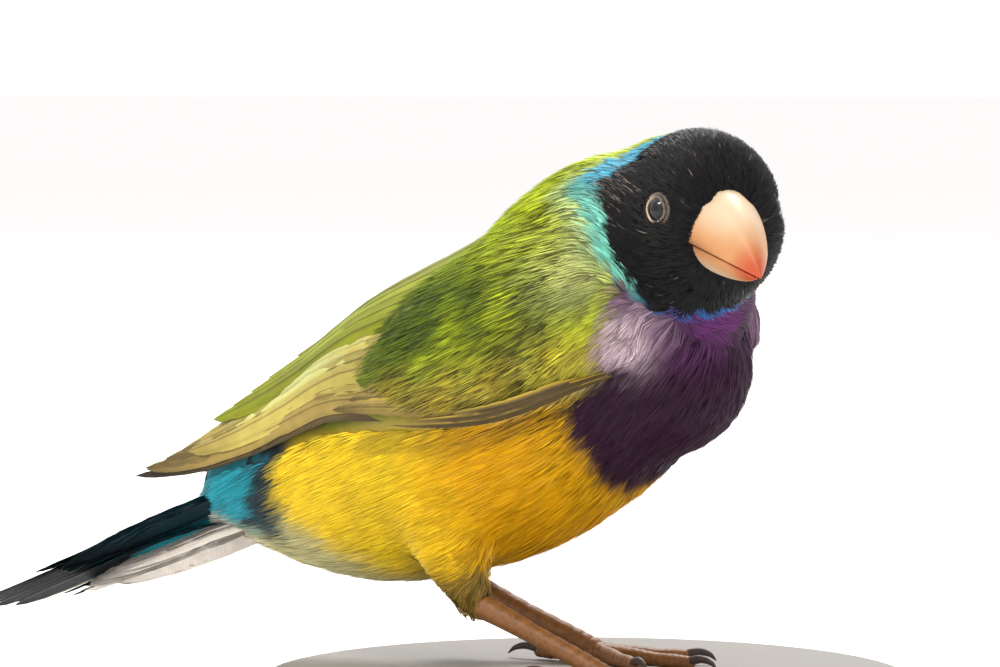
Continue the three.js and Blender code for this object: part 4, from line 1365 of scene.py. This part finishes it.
def make_eye(name: str) -> None:
    """One eyeball with its iris and pupil, and the rings of bare skin round it.

    Args:
        name: "right" or "left".
    """
    centre, out, forward, up = eye_frame(name)
    theta = np.linspace(0.0, np.pi, 40)
    a = np.linspace(0, 2 * np.pi, 48, endpoint=False)
    rings, tint = [], []
    pupil, iris, rim = srgb("030304"), srgb("141c22"), srgb("08080a")
    for angle in theta:
        r = EYE_RADIUS * (1.0 if angle > 0.7 else 1.0 + 0.03 * math.cos(angle / 0.7 * math.pi / 2))
        flat = math.sin(angle) * (np.cos(a)[:, None] * forward + np.sin(a)[:, None] * up)
        rings.append(centre + r * (math.cos(angle) * out + flat))
        share = smooth(0.42, 0.5, angle)
        tone = pupil * (1 - share) + iris * share
        share = smooth(0.8, 0.95, angle)
        tint.append(tone * (1 - share) + rim * share)
    ball = tube(np.array(rings[1:-1]), np.array(tint[1:-1])).build(f"eyeball_{name}", "eye")
    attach(ball, "root")
    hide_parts(f"eye_{name}")
    u = np.linspace(0, 2 * np.pi, 96, endpoint=False)
    v = np.linspace(0, 2 * np.pi, 16, endpoint=False)
    # The opening is a little longer than high, and drawn to a corner in front and behind
    reach = 1.0 + 0.2 * np.abs(np.cos(u)) ** 6 * np.where(np.cos(u) < 0, 1.0, 0.6)
    lids = []
    bright, dark = srgb("c4ac90"), srgb("2a2624")
    for radius, thick, height, shade in LID_RINGS:
        ring = []
        for angle, far in zip(u, reach):
            beads = 1 + 0.16 * math.sin(34 * angle) + 0.05 * math.sin(11 * angle + 1)
            spoke = math.cos(angle) * forward + math.sin(angle) * up * 0.93
            middle = centre + spoke * radius * far + out * (height - 0.25 * (far - 1))
            round_it = np.cos(v)[:, None] * unit(spoke) + np.sin(v)[:, None] * out
            ring.append(middle + thick * beads * round_it)
        points = np.concatenate(ring)
        faces = outwards(points, loft_faces(len(u), len(v), closed=True))
        # Painted light: each ring is lighter behind and below the eye and darker on its other side
        light = shade * (0.2 + 0.8 * smooth(0.6, -0.7, np.sin(u) * 0.6 + np.cos(u) * 0.8))
        tones = mix(dark + 0 * u[:, None], bright, light)
        lids.append(Shell(points, faces, np.repeat(tones, len(v), 0)))
    lid = Shell.join(lids).build(f"lids_{name}", "lid")
    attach(lid, "root")
    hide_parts("head")


def make_bill() -> None:
    """Builds both halves of the bill."""
    for name, lift in (("upper", 1), ("lower", -1)):
        piece = bill_half(lift).build(f"bill_{name}_horn", "bill")
        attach(piece, "root")
        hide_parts(f"bill_{name}")


# Legs


ANKLE = np.array((-6.2, 8.0, 6.8))
FOOT = np.array((7.2, 8.6, 1.5))
FAR_LEG_BACK = 11.0
# Yaw from straight ahead, length without the claw, and the claw's own length
TOES = ((34, 8.6, 2.8), (4, 11.4, 3.0), (-26, 9.2, 2.8), (178, 6.8, 3.6))


def spline(points: np.ndarray, count: int) -> np.ndarray:
    """A smooth path through some points."""
    points = np.asarray(points, float)
    table = np.column_stack((np.arange(len(points), dtype=float), points))
    t = np.linspace(0, len(points) - 1, count)
    return np.stack([along(table, k, t) for k in (1, 2, 3)], -1)


def limb(points: list, radii: list[float], count: int, around: int, rings: float, tint: np.ndarray) -> Shell:
    """A tapering tube with ring-shaped scutes across its length.

    Args:
        points: the path's main points.
        radii: radii at even steps along the path.
        count: sections.
        around: points round a section.
        rings: how many scutes cross the path.
        tint: the linear colour.
    """
    path = spline(np.array(points), count)
    ahead = unit(np.gradient(path, axis=0))
    across = np.array((0.0, 1.0, 0.0)) + 0 * path
    flat = np.abs(ahead[:, 1]) > 0.95
    across[flat] = (1.0, 0.0, 0.0)
    up = unit(np.cross(ahead, across))
    across = unit(np.cross(up, ahead))
    t = np.linspace(0, 1, count)
    r = np.interp(t, np.linspace(0, 1, len(radii)), radii)
    a = np.linspace(0, 2 * np.pi, around, endpoint=False)
    wave = np.abs(np.sin(np.pi * rings * t))[:, None] ** 0.5
    front = 0.5 + 0.5 * np.sin(a)[None, :]
    swell = r[:, None] * (1 + (0.1 * wave - 0.07) * front)
    sideways = across[:, None] * (np.cos(a) * swell)[..., None]
    points = path[:, None] + sideways + up[:, None] * (np.sin(a) * swell)[..., None]
    shade = 1 - 0.35 * (1 - wave) * front
    shell = tube(points, np.repeat(tint[None], count, 0))
    shell.tint[: count * around] *= shade.reshape(-1, 1)
    return shell


def make_leg(name: str) -> None:
    """One scaled tarsus with its toes and claws, in place of the tarsus and the foot.

    Args:
        name: "right" or "left".
    """
    side = SIDES[name]
    back = FAR_LEG_BACK if side > 0 else 0.0

    def place(p: np.ndarray) -> np.ndarray:
        """A point of the near leg, moved to this one."""
        return np.array((p[0] - back, side * p[1], p[2] + BASE_HEIGHT))

    flesh, horn = srgb("86592e"), srgb("4a3d36")
    ankle, foot = place(ANKLE), place(FOOT)
    heel = ankle + (-0.9, 0, 0.2)
    split = foot + unit(ankle - foot) * 3.2
    shank = limb([heel + (-0.9, 0, 0.9), heel, ankle, ankle * 0.5 + split * 0.5, split, foot + (0, 0, -0.2)],
                 [0.8, 1.2, 1.2, 0.95, 0.95, 1.05], 90, 24, 15, flesh)
    tarsus = shank.build(f"tarsus_scaled_{name}", "leg")
    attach(tarsus, "root")
    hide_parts(f"tarsus_{name}")
    pieces = []
    for yaw, length, claw in TOES:
        a = math.radians(yaw * -side)
        heading = np.array((math.cos(a), math.sin(a), 0.0))

        def at(reach: float, height: float) -> np.ndarray:
            """A point over the base, some way out along the toe."""
            point = foot + heading * reach
            return np.array((point[0], point[1], BASE_HEIGHT + height))

        path = [at(0, 1.25), at(length * 0.35, 1.02), at(length * 0.7, 0.86), at(length, 0.88)]
        pieces.append(limb(path, [1.0, 0.84, 0.86, 0.7, 0.74, 0.58], 60, 18, length * 1.25, flesh))
        for share in (0.36, 0.7, 0.97):
            middle = length * share
            path = [at(middle - 0.7, 0.74), at(middle, 0.7), at(middle + 0.7, 0.74)]
            pieces.append(limb(path, [0.2, 0.5, 0.56, 0.5, 0.2], 14, 12, 0, flesh * 0.9))
        path = [at(length - 0.5, 0.95), at(length + claw * 0.35, 1.3),
                at(length + claw * 0.75, 1.05), at(length + claw, 0.42)]
        pieces.append(limb(path, [0.5, 0.46, 0.36, 0.24, 0.06], 30, 14, 0, horn))
    path = [foot + (-1.5, 0, -0.3), foot + (0, 0, -0.35), foot + (1.5, 0, -0.45)]
    pieces.append(limb(path, [0.5, 1.05, 1.15, 1.0, 0.5], 24, 20, 3, flesh))
    piece = Shell.join(pieces).build(f"toes_{name}", "leg")
    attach(piece, "root")
    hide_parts(f"foot_{name}")


# Studio


# The photograph's camera: direction in degrees, place in metres and lens in millimetres
CAMERA_AZIMUTH, CAMERA_ELEVATION = math.radians(32), math.radians(3)
CAMERA_PLACE = (0.23695, -0.39527, 0.06396)
CAMERA_LENS, CAMERA_SENSOR = 168.48, 36
# Middle of the bird, in metres
AIM = Vector((-0.01, 0.0, 0.035))


def area(name: str, place: tuple[float, float, float], size: float, power: float, colour: str) -> None:
    """An area light, aimed at the middle of the bird.

    Args:
        name: its name.
        place: where it hangs, in metres.
        size: diameter in metres.
        power: power in watts.
        colour: hex colour.
    """
    bpy.ops.object.light_add(type="AREA", location=place)
    light = bpy.context.object
    light.name = name
    light.data.shape = "DISK"
    light.data.size = size
    light.data.energy = power
    light.data.color = tuple(srgb(colour))
    light.rotation_euler = (AIM - light.location).to_track_quat("-Z", "Y").to_euler()


def make_studio() -> None:
    """Floor, soft light and the photograph's camera."""
    bpy.ops.mesh.primitive_plane_add(size=60, location=(0, 0, 0))
    floor = bpy.context.object
    floor.name = "studio_floor"
    floor.data.materials.append(material("floor"))
    area("key", (-0.3, -0.6, 0.85), 0.3, 4.6, "fff6ea")
    area("back_top", (-0.3, 0.6, 0.8), 0.4, 7.0, "ffffff")
    world = bpy.data.worlds.new("studio")
    world.use_nodes = True
    back = world.node_tree.nodes["Background"]
    back.inputs["Color"].default_value = (*srgb("faf8f8"), 1)
    back.inputs["Strength"].default_value = 1.07
    bpy.context.scene.world = world
    bpy.context.scene.view_settings.view_transform = "Standard"
    level = math.cos(CAMERA_ELEVATION)
    to_camera = Vector((math.sin(CAMERA_AZIMUTH) * level, -math.cos(CAMERA_AZIMUTH) * level,
                        math.sin(CAMERA_ELEVATION)))
    bpy.ops.object.camera_add(location=CAMERA_PLACE)
    camera = bpy.context.object
    camera.rotation_euler = (-to_camera).to_track_quat("-Z", "Y").to_euler()
    camera.data.lens = CAMERA_LENS
    camera.data.sensor_width = CAMERA_SENSOR
    camera.data.clip_start = 0.01
    bpy.context.scene.camera = camera


# Everything


def make_coat(skin: bpy.types.Object) -> None:
    """Grows every kind of contour feather on the skin.

    Args:
        skin: the bird's skin.
    """
    ground = Ground(skin)
    for number, (kind, keep) in enumerate(coat_parts()):
        rng = np.random.default_rng(SEED + number)
        shell = kind.grow(ground, keep, rng)
        parts = math.ceil(len(shell.faces) / PIECE_LIMIT)
        per = kind.barbs * (2 * kind.spans - 1)
        feathers = len(shell.faces) // per
        corners = kind.barbs * (2 * kind.spans + 1)
        cuts = np.linspace(0, feathers, parts + 1).astype(int)
        for part, (first, last) in enumerate(zip(cuts[:-1], cuts[1:])):
            span = slice(first * corners, last * corners)
            piece = Shell(
                shell.points[span],
                shell.faces[first * per : last * per] - first * corners,
                shell.tint[span],
                shell.bake[span],
            ).build(f"{kind.name}_{part}", "coat")
            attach(piece, "root")
            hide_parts(*FLESH)
        log.info("%s: %d feathers", kind.name, feathers)


def cad_nodes() -> dict[str, bpy.types.Object]:
    """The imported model's mesh objects by node name."""
    return {piece.name: piece for piece in bpy.data.objects if piece.type == "MESH"}


def main() -> None:
    """Builds the finch."""
    nodes = cad_nodes()
    skin = make_skin(nodes)
    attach(skin, "root")
    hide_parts(*FLESH)
    make_coat(skin)
    make_wings_and_tail(np.random.default_rng(SEED))
    make_bill()
    for name in SIDES:
        make_eye(name)
        make_leg(name)
    stand = nodes["stand_base"]
    stand.data.materials.clear()
    stand.data.materials.append(material("stand"))
    make_studio()


if __name__ == "__main__":
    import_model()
    main()
